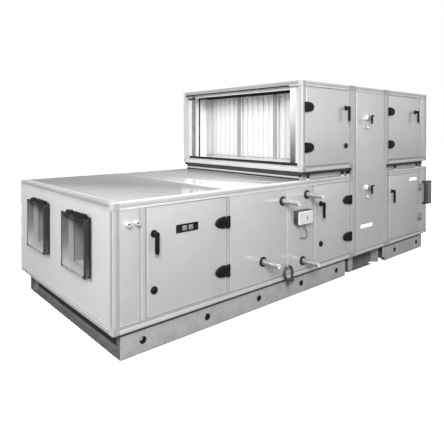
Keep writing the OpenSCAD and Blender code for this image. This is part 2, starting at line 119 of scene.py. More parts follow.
def surface(name, c0, c1, rough, metal=0.0, coat=0.0, coat_rough=0.1, patch=2.5, fine=240,
            bump=0.06, dist=0.0006, mottle=None, stretch=None, spec=0.5, sheen=0.0):
    """Painted, moulded or metal surface: slow tone drift, uneven gloss, fine grain."""
    m, nt, b, vec = _nt(name)
    slow = _noise(nt, vec, patch, 4.0, 0.6)
    stops = [(0.32, c0), (0.68, c1)]
    col = _ramp(nt, slow, stops)
    if mottle:
        ms, amount = mottle
        mx = nt.nodes.new("ShaderNodeMix")
        mx.data_type = "RGBA"
        mx.blend_type = "MULTIPLY"
        mx.inputs[0].default_value = 1.0
        nt.links.new(col, mx.inputs[6])
        f = _noise(nt, vec, ms, 6.0, 0.65, stretch)
        nt.links.new(_ramp(nt, f, [(0.35, 1.0 - amount), (0.62, 1.0)]), mx.inputs[7])
        col = mx.outputs[2]
    nt.links.new(col, b.inputs["Base Color"])
    nt.links.new(_range(nt, _noise(nt, vec, patch * 5, 5.0, 0.6, stretch), rough[0], rough[1]), b.inputs["Roughness"])
    b.inputs["Metallic"].default_value = metal
    b.inputs["Specular IOR Level"].default_value = spec
    if coat:
        b.inputs["Coat Weight"].default_value = coat
        b.inputs["Coat Roughness"].default_value = coat_rough
    if sheen:
        b.inputs["Sheen Weight"].default_value = sheen
        b.inputs["Sheen Roughness"].default_value = 0.4
    _bump(nt, b, _noise(nt, vec, fine, 2.0, 0.5, stretch), bump, dist)
    return m


def galvanised(name, c0, c1, scale=55):
    """Zinc-coated sheet with its flower pattern."""
    m, nt, b, vec = _nt(name)
    v = nt.nodes.new("ShaderNodeTexVoronoi")
    v.inputs["Scale"].default_value = scale
    nt.links.new(vec, v.inputs["Vector"])
    bw = nt.nodes.new("ShaderNodeRGBToBW")
    nt.links.new(v.outputs["Color"], bw.inputs["Color"])
    nt.links.new(_ramp(nt, bw.outputs["Val"], [(0.2, c0), (0.8, c1)]), b.inputs["Base Color"])
    nt.links.new(_range(nt, bw.outputs["Val"], 0.32, 0.5, 0.2, 0.8), b.inputs["Roughness"])
    b.inputs["Metallic"].default_value = 0.65
    _bump(nt, b, _noise(nt, vec, 180, 3.0, 0.5), 0.08, 0.0005)
    return m


def media(name, c0, c1):
    """Needled non-woven: fibre clumps and a fine tangle."""
    m, nt, b, vec = _nt(name)
    f = _noise(nt, vec, 90, 6.0, 0.7)
    nt.links.new(_ramp(nt, f, [(0.3, c0), (0.7, c1)]), b.inputs["Base Color"])
    nt.links.new(_range(nt, f, 0.8, 0.95), b.inputs["Roughness"])
    b.inputs["Sheen Weight"].default_value = 0.25
    b.inputs["Sheen Roughness"].default_value = 0.6
    b.inputs["Specular IOR Level"].default_value = 0.2
    n1 = _bump(nt, b, _noise(nt, vec, 60, 5.0, 0.6), 0.18, 0.004)
    _bump(nt, b, _noise(nt, vec, 900, 3.0, 0.7, (1.0, 1.0, 0.25)), 0.25, 0.0006, n1)
    return m


def shade_by_height(name, c0, c1, z0, z1, rough):
    """Colour running from c0 at height z0 to c1 at height z1, with streaky noise: painted shade and light by height."""
    m, nt, b, vec = _nt(name)
    sp = nt.nodes.new("ShaderNodeSeparateXYZ")
    nt.links.new(vec, sp.inputs[0])
    h = _range(nt, sp.outputs["Z"], 0.0, 1.0, z0, z1)
    n = _range(nt, _noise(nt, vec, 9, 5.0, 0.6, (1.0, 1.0, 0.35)), -0.14, 0.14)
    ad = nt.nodes.new("ShaderNodeMath")
    ad.operation = "ADD"
    nt.links.new(h, ad.inputs[0])
    nt.links.new(n, ad.inputs[1])
    nt.links.new(_ramp(nt, ad.outputs[0], [(0.0, c0), (0.45, (c0 + c1) / 2.6), (1.0, c1)]), b.inputs["Base Color"])
    nt.links.new(_range(nt, _noise(nt, vec, 40, 4.0, 0.6), rough[0], rough[1]), b.inputs["Roughness"])
    _bump(nt, b, _noise(nt, vec, 300, 2.0, 0.5), 0.08, 0.0005)
    return m


PANEL = surface("panel_paint", 0.58, 0.62, (0.17, 0.23), metal=0.38, coat=0.2, coat_rough=0.08, patch=1.3, fine=210, bump=0.022, dist=0.0004, mottle=(7, 0.02))
# top paint: a darker copy of the panel paint, painted shade against the light from above
TOPS_SHADED = surface("top_painted_shade", 0.33, 0.37, (0.12, 0.16), metal=0.05, coat=0.35, coat_rough=0.11, patch=1.1, fine=160, bump=0.0, dist=0.0002, mottle=(6, 0.02))
INNER = surface("inner_skin", 0.66, 0.72, (0.34, 0.44), patch=2.0, fine=240, bump=0.05, mottle=(9, 0.04))
INNERW = surface("inner_white", 0.54, 0.58, (0.36, 0.46), patch=2.0, fine=240, bump=0.04, mottle=(9, 0.02))
# lining white: a lighter copy of the inner paint, painted light against the shade inside the sections
LINING_LIT = surface("lining_white_painted_light", 0.84, 0.88, (0.36, 0.46), patch=2.0, fine=240, bump=0.04, mottle=(9, 0.02))
FRAME = surface("frame_paint", 0.43, 0.47, (0.30, 0.40), metal=0.15, coat=0.15, coat_rough=0.2, patch=2.2, fine=380, bump=0.05, dist=0.0003, mottle=(14, 0.05))
# copies of the frame paint: the rail, rail lip and low rail paints are lighter, painted light; the end frame paints and
# the frame lip are darker, painted shade
RAIL_LIT = surface("rail_painted_light", 0.48, 0.52, (0.32, 0.42), metal=0.12, coat=0.10, coat_rough=0.25, patch=2.2, fine=380, bump=0.04, dist=0.0003, mottle=(14, 0.04))
RAIL_LIP_LIT = surface("rail_lip_painted_light", 0.60, 0.64, (0.32, 0.42), metal=0.12, coat=0.10, coat_rough=0.25, patch=2.2, fine=380, bump=0.04, dist=0.0003, mottle=(14, 0.04))
RAIL_LOW_LIT = surface("rail_low_painted_light", 0.47, 0.51, (0.32, 0.42), metal=0.12, coat=0.10, coat_rough=0.25, patch=2.2, fine=380, bump=0.04, dist=0.0003, mottle=(14, 0.05))
END_FRAME_SHADED = surface("end_frame_painted_shade", 0.25, 0.29, (0.34, 0.44), metal=0.15, patch=2.2, fine=380, bump=0.05, dist=0.0003, mottle=(14, 0.05))
END_FRAME_UPPER_SHADED = surface("end_frame_upper_painted_shade", 0.36, 0.40, (0.32, 0.42), metal=0.15, patch=2.2, fine=380, bump=0.05, dist=0.0003, mottle=(14, 0.05))
LIP_SHADED = surface("frame_lip_painted_shade", 0.33, 0.37, (0.36, 0.46), metal=0.1, patch=2.4, fine=380, bump=0.05, dist=0.0003, mottle=(18, 0.06))
CORNER = surface("corner_cast", 0.31, 0.35, (0.38, 0.50), patch=5.0, fine=520, bump=0.08, dist=0.0003, mottle=(30, 0.06))
# rolled edges: a lighter, less metallic copy of the panel paint, painted highlight
RIM_LIT = surface("rolled_edge_painted_highlight", 0.52, 0.57, (0.28, 0.38), metal=0.15, patch=3.0, fine=300, bump=0.03, mottle=(20, 0.04))
BASE = surface("base_paint", 0.33, 0.38, (0.40, 0.55), patch=1.8, fine=160, bump=0.10, dist=0.0008, mottle=(11, 0.16))
BASEDK = surface("base_shade", 0.10, 0.13, (0.45, 0.60), patch=2.0, fine=160, bump=0.10, dist=0.0008, mottle=(12, 0.2))
# wheel base colour darkens from the floor upwards: painted shade under the casing
WHEEL_BASE_SHADED = shade_by_height("wheel_base_painted_shade", 0.15, 0.05, 0.0, 0.17, (0.45, 0.60))
# base end: a darker copy of the base paint, painted shade under the casing
BASE_END_SHADED = surface("base_end_painted_shade", 0.090, 0.115, (0.45, 0.60), patch=3.0, fine=160, bump=0.10, dist=0.0008, mottle=(12, 0.25))
RUBBER = surface("dark_rubber", 0.012, 0.020, (0.60, 0.75), patch=9, fine=600, bump=0.12, dist=0.0004, spec=0.25)
SEAL = surface("seal_rubber", 0.27, 0.32, (0.55, 0.70), patch=8, fine=600, bump=0.10, dist=0.0003, spec=0.3)
DKSTEEL = surface("dark_steel", 0.030, 0.045, (0.36, 0.50), metal=0.2, patch=6, fine=420, bump=0.08, dist=0.0004, mottle=(35, 0.25), spec=0.35)
# black for the strips that paint shadow lines in the open ends
SHADOW_BLACK = surface("shadow_line_black", 0.010, 0.016, (0.75, 0.9), patch=14, fine=1100, bump=0.35, dist=0.0006, spec=0.2, sheen=0.05)
PALE = surface("pale_steel", 0.43, 0.47, (0.30, 0.42), metal=0.05, patch=3, fine=260, bump=0.05, mottle=(10, 0.06))
# curb paint: a lighter copy, painted light against the shade under the upper deck
CURB_LIT = surface("curb_painted_light", 0.74, 0.80, (0.32, 0.44), metal=0.05, patch=3, fine=260, bump=0.05, mottle=(10, 0.06))
SLIDE = surface("slide_strip", 0.12, 0.17, (0.42, 0.56), patch=7, fine=300, bump=0.08, mottle=(16, 0.25))
# slide strip: near black at the foot to light grey at the head, painted shade
SLIDE_SHADED = shade_by_height("slide_strip_painted_shade", 0.02, 0.62, 1.24, 2.02, (0.40, 0.55))
MULL = surface("mullion_paint", 0.25, 0.28, (0.36, 0.48), metal=0.1, patch=3, fine=260, bump=0.05, mottle=(12, 0.05))
BLACK = surface("black_plastic", 0.006, 0.010, (0.40, 0.55), patch=12, fine=900, bump=0.16, dist=0.0003, spec=0.15)
BLACK2 = surface("black_gloss", 0.008, 0.012, (0.30, 0.40), patch=14, fine=700, bump=0.06, dist=0.0002, spec=0.18)
WHITE = surface("white_plastic", 0.60, 0.65, (0.30, 0.42), patch=10, fine=700, bump=0.05, dist=0.0002, mottle=(60, 0.03))
PLUG = surface("plug_plastic", 0.50, 0.55, (0.32, 0.44), patch=10, fine=700, bump=0.05, dist=0.0002, mottle=(60, 0.03))
GREY = surface("grey_plastic", 0.040, 0.060, (0.42, 0.55), patch=12, fine=800, bump=0.12, dist=0.0003, spec=0.4)
MIDGREY = surface("mid_grey_plastic", 0.18, 0.24, (0.42, 0.55), patch=12, fine=800, bump=0.10, dist=0.0003)
PIPE = surface("pipe_steel", 0.22, 0.27, (0.26, 0.36), metal=0.25, patch=9, fine=120, bump=0.02, dist=0.0003, mottle=(40, 0.05))
ZINC = surface("zinc_bolt", 0.58, 0.72, (0.24, 0.34), metal=0.85, patch=40, fine=900, bump=0.06, dist=0.0002)
HINGE = surface("hinge_plastic", 0.007, 0.011, (0.26, 0.34), patch=14, fine=700, bump=0.05, dist=0.0002, spec=0.16)
COPPER = surface("copper_tube", (0.52, 0.26, 0.17), (0.62, 0.33, 0.22), (0.28, 0.42), metal=0.9, patch=25, fine=500, bump=0.06, mottle=(60, 0.15))
FIN = surface("coil_fins", 0.55, 0.66, (0.30, 0.42), metal=0.75, patch=12, fine=700, bump=0.08, dist=0.0002, mottle=(25, 0.1))
LABEL_GLOW = surface("blank_label_painted_glow", 0.88, 0.92, (0.30, 0.40), patch=16, fine=900, bump=0.02, mottle=(90, 0.02))
GALV = galvanised("galvanised", 0.66, 0.76)
GALVDK = galvanised("galvanised_dull", 0.36, 0.44, 40)
LINER = surface("liner_sheet", 0.31, 0.35, (0.36, 0.46), metal=0.15, patch=4, fine=300, bump=0.04, mottle=(9, 0.08))
# throat and scroll sheets: darker copies of the sheet, painted shade inside the fans
THROAT_SHADED = surface("throat_sheet_painted_shade", 0.19, 0.23, (0.36, 0.46), metal=0.15, patch=4, fine=300, bump=0.04, mottle=(9, 0.08))
# liner sill: a lighter copy of the liner, painted light
LINER_SILL_LIT = surface("liner_sill_painted_light", 0.33, 0.37, (0.36, 0.46), metal=0.1, patch=4, fine=300, bump=0.04, mottle=(9, 0.06))
# lower flange bar: a lighter copy of the steel, painted light
FLANGE_LOW_LIT = surface("flange_low_painted_light", 0.20, 0.25, (0.40, 0.52), metal=0.1, patch=5, fine=300, bump=0.06, mottle=(20, 0.2))
# canvas: grey at the foot to black at the head, painted shade
CANVAS_SHADED = shade_by_height("canvas_painted_shade", 0.10, 0.008, 0.50, 0.70, (0.70, 0.85))
# bracket: a darker copy of the base paint, painted shade
BRACKET_SHADED = surface("bracket_painted_shade", 0.20, 0.25, (0.42, 0.56), patch=3, fine=160, bump=0.10, dist=0.0008, mottle=(11, 0.2))
# end curbs: a darker copy of the curb paint, painted shade
END_CURB_SHADED = surface("end_curb_painted_shade", 0.31, 0.35, (0.34, 0.46), metal=0.1, patch=3, fine=260, bump=0.05, mottle=(10, 0.06))
# liner sides: lighter at the foot, darker towards the head, painted shade
LINER_SIDE_SHADED = shade_by_height("liner_side_painted_shade", 0.40, 0.07, 0.52, 0.95, (0.40, 0.52))
SCROLL_SHADED = surface("scroll_sheet_painted_shade", 0.075, 0.105, (0.40, 0.52), metal=0.25, patch=5, fine=300, bump=0.05, mottle=(14, 0.15))
FLEX = surface("flex_lead", 0.10, 0.13, (0.42, 0.55), patch=12, fine=800, bump=0.10, dist=0.0003)
MEDIA = media("filter_media", 0.49, 0.56)

# ---------------------------------------------------------------------------
# mesh building, all in casing millimetres
# ---------------------------------------------------------------------------


class MB:
    def __init__(self):
        self.v, self.f, self.mi, self.mats = [], [], [], []

    def mat(self, m):
        if m not in self.mats:
            self.mats.append(m)
        return self.mats.index(m)

    def add(self, verts, faces, m):
        o, k = len(self.v), self.mat(m)
        self.v += [tuple(p) for p in verts]
        self.f += [tuple(i + o for i in f) for f in faces]
        self.mi += [k] * len(faces)

    def lofts(self, loops, m, cap0=True, cap1=True, mats=None, closed=False):
        """Skin over loops of points with the same count; mats gives one material per strip."""
        n = len(loops[0])
        o = len(self.v)
        for lp in loops:
            self.v += [tuple(p) for p in lp]
        pairs = [(i, i + 1) for i in range(len(loops) - 1)]
        if closed:
            pairs.append((len(loops) - 1, 0))
        for i, j in pairs:
            k = self.mat(mats[i] if mats else m)
            for a in range(n):
                b = (a + 1) % n
                self.f.append((o + i * n + a, o + i * n + b, o + j * n + b, o + j * n + a))
                self.mi.append(k)
        k = self.mat(m)
        if not closed:
            if cap0:
                self.f.append(tuple(o + a for a in range(n - 1, -1, -1)))
                self.mi.append(self.mat(mats[0]) if mats else k)
            if cap1:
                e = o + (len(loops) - 1) * n
                self.f.append(tuple(e + a for a in range(n)))
                self.mi.append(self.mat(mats[-1]) if mats else k)

    def obj(self, name, body="casing", replaces=(), angle=32, bevel=None, subsurf=0):
        me = bpy.data.meshes.new(name)
        me.from_pydata([P(*p) for p in self.v], [], self.f)
        for m in self.mats:
            me.materials.append(m)
        me.polygons.foreach_set("material_index", self.mi)
        bm = bmesh.new()
        bm.from_mesh(me)
        bmesh.ops.recalc_face_normals(bm, faces=bm.faces)
        bm.to_mesh(me)
        bm.free()
        me.polygons.foreach_set("use_smooth", [True] * len(me.polygons))
        me.set_sharp_from_angle(angle=math.radians(angle))
        me.update()
        o = bpy.data.objects.new(name, me)
        bpy.context.scene.collection.objects.link(o)
        if bevel:
            b = o.modifiers.new("edge", "BEVEL")
            b.width = bevel / 1000
            b.segments = 2
            b.limit_method = "ANGLE"
            b.angle_limit = math.radians(40)
            b.harden_normals = False
        if subsurf:
            s = o.modifiers.new("sub", "SUBSURF")
            s.levels = s.render_levels = subsurf
        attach(o, body)
        if replaces:
            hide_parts(*([replaces] if isinstance(replaces, str) else replaces))
        return o


AX = {"x": (1, 2, 0), "y": (0, 2, 1), "z": (0, 1, 2)}


def at(axis, u, v, w):
    """Point with (u, v) in the plane across axis and w along it."""
    p = [0, 0, 0]
    a = AX[axis]
    p[a[0]], p[a[1]], p[a[2]] = u, v, w
    return tuple(p)


def offset(prof, d):
    """Polygon moved inwards by d at every corner (counter-clockwise or not)."""
    n = len(prof)
    area = sum(prof[i][0] * prof[(i + 1) % n][1] - prof[(i + 1) % n][0] * prof[i][1] for i in range(n))
    s = 1 if area > 0 else -1
    out = []
    for i in range(n):
        a, b, c = Vector(prof[i - 1]), Vector(prof[i]), Vector(prof[(i + 1) % n])
        e1, e2 = (b - a).normalized(), (c - b).normalized()
        n1, n2 = Vector((-e1.y, e1.x)) * s, Vector((-e2.y, e2.x)) * s
        m = n1 + n2
        if m.length < 1e-6:
            m = n1
        m = m.normalized()
        k = d / max(0.45, m.dot(n1))
        q = b + m * k
        out.append((q.x, q.y))
    return out


def prism(mb, axis, prof, a, b, m, ch=0.8, mats=None):
    """Straight bar of a given section, its two ends slightly chamfered."""
    if ch:
        ins = offset(prof, ch)
        loops = [[at(axis, u, v, a) for u, v in ins], [at(axis, u, v, a + ch) for u, v in prof],
                 [at(axis, u, v, b - ch) for u, v in prof], [at(axis, u, v, b) for u, v in ins]]
    else:
        loops = [[at(axis, u, v, a) for u, v in prof], [at(axis, u, v, b) for u, v in prof]]
    mb.lofts(loops, m)


def bars(mb, axis, prof, a, b, m, strips, ch=0.8):
    """Like prism, with a material for each edge of the section (strips: index -> material)."""
    ins = offset(prof, ch)
    loops = [[at(axis, u, v, a) for u, v in ins], [at(axis, u, v, a + ch) for u, v in prof],
             [at(axis, u, v, b - ch) for u, v in prof], [at(axis, u, v, b) for u, v in ins]]
    k0 = len(mb.f)
    mb.lofts(loops, m)
    n = len(prof)
    for i in range(3):
        for e, mm in strips.items():
            mb.mi[k0 + i * n + e] = mb.mat(mm)


def rbox(mb, x0, x1, y0, y1, z0, z1, m, r=1.5, seg=2):
    """Box with every edge rounded."""
    r = min(r, (x1 - x0) * 0.45, (y1 - y0) * 0.45, (z1 - z0) * 0.45)
    cx, cy, cz = (x0 + x1) / 2, (y0 + y1) / 2, (z0 + z1) / 2
    hx, hy, hz = (x1 - x0) / 2, (y1 - y0) / 2, (z1 - z0) / 2
    # rounded box as a loft of rounded rectangles along z
    loops = []
    lv = []
    for i in range(seg + 1):
        a = PI / 2 * i / seg
        lv.append((r * (1 - S(a)), -hz + r * (1 - C(a))))
    lv = lv + [(i, -h) for i, h in reversed(lv)]
    for ins, h in lv:
        loops.append([(cx + u, cy + v, cz + h) for u, v in rrect(hx - ins, hy - ins, max(r - ins, 0.02), seg)])
    mb.lofts(loops, m)


def rrect(hw, hh, r, seg=3):
    """Rounded rectangle about the origin, counter-clockwise."""
    pts = []
    for cx, cy, a0 in ((hw - r, hh - r, 0), (-hw + r, hh - r, 90), (-hw + r, -hh + r, 180), (hw - r, -hh + r, 270)):
        for i in range(seg + 1):
            a = math.radians(a0 + 90 * i / seg)
            pts.append((cx + r * C(a), cy + r * S(a)))
    return pts


def rrect_at(cu, cv, hw, hh, r):
    return [(cu + u, cv + v) for u, v in rrect(hw, hh, r, 3)]


def revolve(mb, axis, cu, cv, prof, m, seg=40, mats=None, closed=False):
    """Surface of revolution about a line along axis; prof is (radius, position along axis)."""
    loops = []
    for r, w in prof:
        r = max(r, 0.01)
        loops.append([at(axis, cu + r * C(2 * PI * i / seg), cv + r * S(2 * PI * i / seg), w) for i in range(seg)])
    mb.lofts(loops, m, mats=mats, closed=closed)


def ngon(mb, axis, cu, cv, w0, w1, r, n, m, ch=0.8, rot=0.0):
    """Bolt head or nut: n-sided with chamfered outer face at w1."""
    s = 1 if w1 > w0 else -1
    lo = lambda rr, w: [at(axis, cu + rr * C(2 * PI * (i + rot) / n), cv + rr * S(2 * PI * (i + rot) / n), w) for i in range(n)]
    mb.lofts([lo(r, w0), lo(r, w1 - s * ch), lo(r - ch, w1)], m)


def tube(mb, path, r, m, seg=14, radii=None, caps=True):
    """Round tube along a route, kept from twisting."""
    pts = [Vector(p) for p in path]
    n = len(pts)
    tan = [(pts[min(i + 1, n - 1)] - pts[max(i - 1, 0)]).normalized() for i in range(n)]
    a = tan[0].cross(Vector((0.31, 0.9, 0.13))).normalized()
    loops = []
    for i in range(n):
        a = (a - tan[i] * a.dot(tan[i])).normalized()
        b = tan[i].cross(a)
        rr = radii[i] if radii else r
        loops.append([pts[i] + (a * C(2 * PI * k / seg) + b * S(2 * PI * k / seg)) * rr for k in range(seg)])
    mb.lofts(loops, m, cap0=caps, cap1=caps)


SIDE = {
    "front": lambda u, v, h, c: (u, c - h, v), "back": lambda u, v, h, c: (u, c + h, v),
    "left": lambda u, v, h, c: (c - h, u, v), "right": lambda u, v, h, c: (c + h, u, v),
    "top": lambda u, v, h, c: (u, v, c + h), "bottom": lambda u, v, h, c: (u, v, c - h),
}


def rect_loft(mb, side, c, u0, u1, v0, v1, levels, m, mats=None, cap0=True, cap1=True, rad=None, seg=3, closed=False):
    """Stack of rectangles over one face: levels are (inset, height over the face)."""
    loops = []
    for k, (ins, h) in enumerate(levels):
        a0, a1, b0, b1 = u0 + ins, u1 - ins, v0 + ins, v1 - ins
        if rad is None:
            q = [(a0, b0), (a1, b0), (a1, b1), (a0, b1)]
        else:
            r = max(rad - ins, 0.3)
            q = [((a0 + a1) / 2 + u, (b0 + b1) / 2 + v) for u, v in rrect((a1 - a0) / 2, (b1 - b0) / 2, r, seg)]
        loops.append([SIDE[side](u, v, h, c) for u, v in q])
    mb.lofts(loops, m, mats=mats, cap0=cap0, cap1=cap1, closed=closed)


def panel(mb, side, c, u0, u1, v0, v1, t=46, skin=None, inner=None, bead=1.2, rim=None, lip=None):
    """Double-skin panel: outer skin with a rolled edge in a lighter paint as painted highlight and a groove in the
    darker lip paint as painted shade, inner skin with a small return.
    """
    skin, inner = skin or PANEL, inner or INNER
    lv = [(3.0, -t), (1.2, -t), (0.4, -t + 0.5), (0.0, -t + 1.6), (0.0, -2.2), (0.5, -0.5), (1.6, bead - 0.2), (2.8, bead), (4.6, bead),
          (5.8, bead - 0.4), (6.6, -0.25), (8.0, -0.25), (9.2, 0.0)]
    rm, lp = rim or RIM_LIT, lip or LIP_SHADED
    ms = [inner, inner, inner, inner, rm, rm, rm, rm, rm, rm, lp, skin, skin]
    rect_loft(mb, side, c, u0, u1, v0, v1, lv, skin, mats=ms, rad=3.0, seg=2)
    mb.mi[-1] = mb.mat(skin)
    mb.mi[-2] = mb.mat(inner)


def ring(mb, side, c, u0, u1, v0, v1, section, m, rad=None, seg=3, four=None):
    """Closed frame of a given section (inset, height) round a rectangle; four gives the
    materials of its bottom, high-u, top and low-u bars when the corners are square."""
    k0 = len(mb.f)
    rect_loft(mb, side, c, u0, u1, v0, v1, section, m, closed=True, rad=rad, seg=seg)
    if four:
        for i in range(len(section)):
            for e in range(4):
                mb.mi[k0 + i * 4 + e] = mb.mat(four[e])


def hexbolt(mb, axis, cu, cv, w, s, r=6.5, washer=9.5, m=None):
    m = m or ZINC
    revolve(mb, axis, cu, cv, [(washer * 0.5, w), (washer, w), (washer, w + s * 1.2), (washer * 0.6, w + s * 1.4)], m, 20)
    ngon(mb, axis, cu, cv, w + s * 1.2, w + s * 6.0, r, 6, m, 1.0)


def screw(mb, axis, cu, cv, w, s, r=4.2, m=None):
    """Pan-head screw with a recess."""
    m = m or ZINC
    revolve(mb, axis, cu, cv, [(r, w), (r, w + s * 0.6), (r * 0.86, w + s * 1.5), (r * 0.55, w + s * 2.0), (r * 0.32, w + s * 2.0), (r * 0.28, w + s * 1.2), (0, w + s * 1.1)], m, 18)


# ---------------------------------------------------------------------------
# frames of the five sections: extruded profiles with cast corners
# ---------------------------------------------------------------------------

STEP, LIPW = 3.2, 20


def corner_section(w, d, R, grooved=True):
    """Corner profile: outer edge at the origin, faces w and d wide, each with a
    set-back lip next to the panel. Returns the points and the lip edges."""
    pts = []
    n = 5
    for i in range(n + 1):
        a = PI + PI / 2 * i / n
        pts.append((R + R * C(a), R + R * S(a)))
    if not grooved:
        pts += [(w - 1.2, 0), (w, 1.2), (w, d - 1.2), (w - 1.2, d), (1.2, d), (0, d - 1.2)]
        return pts, ()
    k = len(pts)
    pts += [(w - LIPW - 2.0, 0), (w - LIPW - 0.6, 0.7), (w - LIPW, STEP), (w - 5, STEP), (w - 4, STEP - 1.6), (w - 1.4, STEP - 1.6), (w, STEP),
            (w, d), (STEP, d), (STEP - 1.6, d - 1.4), (STEP - 1.6, d - 4), (STEP, d - 5), (STEP, d - LIPW), (0.7, d - LIPW - 0.6), (0, d - LIPW - 2.0)]
    return pts, (k + 1, k + 2, k + 3, k + 4, k + 5, k + 8, k + 9, k + 10, k + 11, k + 12)


def flat_section(u0, u1, d):
    """Mullion: one outer face at v = 0 with a lip on both sides."""
    L = min(LIPW * 0.55, (u1 - u0) * 0.24)
    pts = [(u0, d), (u0, STEP), (u0 + L, STEP), (u0 + L + 0.6, 0.7), (u0 + L + 2.0, 0), (u1 - L - 2.0, 0), (u1 - L - 0.6, 0.7), (u1 - L, STEP), (u1, STEP), (u1, d)]
    return pts, (1, 2, 6, 7)


def corner_block(mb, x0, x1, y0, y1, z0, z1, ox, oy, oz, R):
    """Cast corner: the three edges that meet at its outer corner are rounded.
    ox, oy, oz are -1 or +1 towards the outside."""
    bm = bmesh.new()
    vs = {}
    for i, x in ((-1, x0), (1, x1)):
        for j, y in ((-1, y0), (1, y1)):
            for k, z in ((-1, z0), (1, z1)):
                vs[i, j, k] = bm.verts.new((x, y, z))
    for f in (((-1, -1, -1), (-1, -1, 1), (-1, 1, 1), (-1, 1, -1)), ((1, -1, -1), (1, 1, -1), (1, 1, 1), (1, -1, 1)),
              ((-1, -1, -1), (1, -1, -1), (1, -1, 1), (-1, -1, 1)), ((-1, 1, -1), (-1, 1, 1), (1, 1, 1), (1, 1, -1)),
              ((-1, -1, -1), (-1, 1, -1), (1, 1, -1), (1, -1, -1)), ((-1, -1, 1), (1, -1, 1), (1, 1, 1), (-1, 1, 1))):
        bm.faces.new([vs[q] for q in f])
    o = vs[ox, oy, oz]
    main = [e for e in bm.edges if o in e.verts]
    bmesh.ops.bevel(bm, geom=main, offset=R, segments=5, profile=0.5, affect="EDGES")
    bm.verts.ensure_lookup_table()
    bm.verts.index_update()
    mb.add([v.co[:] for v in bm.verts], [[v.index for v in f.verts] for f in bm.faces], CORNER)
    bm.free()


def casing(name, node, x0, x1, za, zb, wl, wr, Rl, Rr, mull=(), back_mull=(), end=0, endm=None, endt=None):
    """Posts, rails and corners of one section; end (-1 or 1) is its free end, whose outward
    faces take endm (endt on its top rail when given): darker frame paint as painted shade."""
    mb = MB()
    for ex, w, R in ((-1, wl, Rl), (1, wr, Rr)):
        for ey in (-1, 1):
            sec, lips = corner_section(w, PD, R)
            xo, yo = (x0 if ex < 0 else x1), (0 if ey < 0 else W)
            prof = [(xo - ex * u, yo - ey * v) for u, v in sec]
            st = {i: LIP_SHADED for i in lips}
            if ex == end:
                st.update({20: endm, 0: endm, 1: endm})
            bars(mb, "z", prof, za + RH + 0.6, zb - RH - 0.6, FRAME, st)
            for ez in (-1, 1):
                xs = sorted((xo, xo - ex * w))
                ys = sorted((yo, yo - ey * PD))
                zs = (za, za + RH) if ez < 0 else (zb - RH, zb)
                corner_block(mb, *xs, *ys, *zs, ex, ey, ez, R)
            # rails along Y at this end
        for ez in (-1, 1):
            sec, lips = corner_section(w, RH, R)
            xo, zo = (x0 if ex < 0 else x1), (za if ez < 0 else zb)
            prof = [(xo - ex * u, zo - ez * v) for u, v in sec]
            st = {i: LIP_SHADED for i in lips}
            if ex == end:
                em = endt if endt and ez > 0 else endm
                st.update({20: em, 0: em, 1: em, 2: em, 3: em, 4: em, 5: em})
            bars(mb, "y", prof, PD + 0.6, W - PD - 0.6, FRAME, st)
    for ey in (-1, 1):
        for ez in (-1, 1):
            sec, lips = corner_section(PD, RH, 8)
            yo, zo = (0 if ey < 0 else W), (za if ez < 0 else zb)
            prof = [(yo - ey * u, zo - ez * v) for u, v in sec]
            # top rails in the lighter rail paint and lip as painted light, their top and rounded edge in the darker
            # upper end paint as painted shade; lower rails in the low rail paint
            bars(mb, "x", prof, x0 + wl + 0.6, x1 - wr - 0.6, RAIL_LIT if ez > 0 else RAIL_LOW_LIT, {i: RAIL_LIP_LIT if ez > 0 else LIP_SHADED for i in lips} | ({3: END_FRAME_UPPER_SHADED, 4: END_FRAME_UPPER_SHADED, 5: END_FRAME_UPPER_SHADED} if ez > 0 else {}))
    for ms, yo, s in ((mull, 0, 1), (back_mull, W, -1)):
        for a, b in ms:
            sec, lips = flat_section(a, b, PD)
            bars(mb, "z", [(u, yo + s * v) for u, v in sec], za + RH + 0.6, zb - RH - 0.6, FRAME, {i: LIP_SHADED for i in lips})
    return mb.obj(name, "casing", node)


M1, M2, M4, M5 = (202, 264), (1020, 1058), (2158, 2196), (4482, 4518)
casing("frame_long_profiles", "frame_long", 0, XA, 0, Z1, PW, JW, 9, 3, (M1, M2, M4), (M2, M4), -1, END_FRAME_SHADED)
casing("frame_inlet_profiles", "frame_inlet", XE, XA, Z2, Z3, PW, JW, 9, 3, (), (), -1, END_FRAME_UPPER_SHADED, END_FRAME_SHADED)
casing("frame_wheel_profiles", "frame_wheel", XW0, XW1, 0, Z3, JW - 2, JW - 2, 3, 3)
casing("frame_intake_profiles", "frame_intake", XC0, XC1, 0, Z1, JW, PW, 3, 9, (M5,), (M5,), 1, END_FRAME_UPPER_SHADED)
casing("frame_exhaust_profiles", "frame_exhaust", XC0, XC1, Z2, Z3, JW, PW, 3, 9, (M5,), (M5,), 1, END_FRAME_SHADED)

# ---------------------------------------------------------------------------
# fixed panels
# ---------------------------------------------------------------------------


def wall_panel(mb, side, x0, x1, za, zb):
    panel(mb, side, 2 if side == "front" else W - 2, x0 + 1, x1 - 1, za + RH + 1, zb - RH - 1)


S3 = 1783
mb = MB()
wall_panel(mb, "front", PW, M1[0], 0, Z1)
wall_panel(mb, "front", M2[1], S3 - 1, 0, Z1)
wall_panel(mb, "front", S3 + 1, M4[0], 0, Z1)
for z in (0, Z2):
    wall_panel(mb, "front", M5[1], XC1 - PW, z, z + 900)
mb.obj("front_panel_skins", "casing", "front_panels")

mb = MB()
wall_panel(mb, "front", XW0 + JW - 2, XW1 - JW + 2, 0, Z3)
mb.obj("wheel_panel_skin", "casing", "front_panel_wheel")

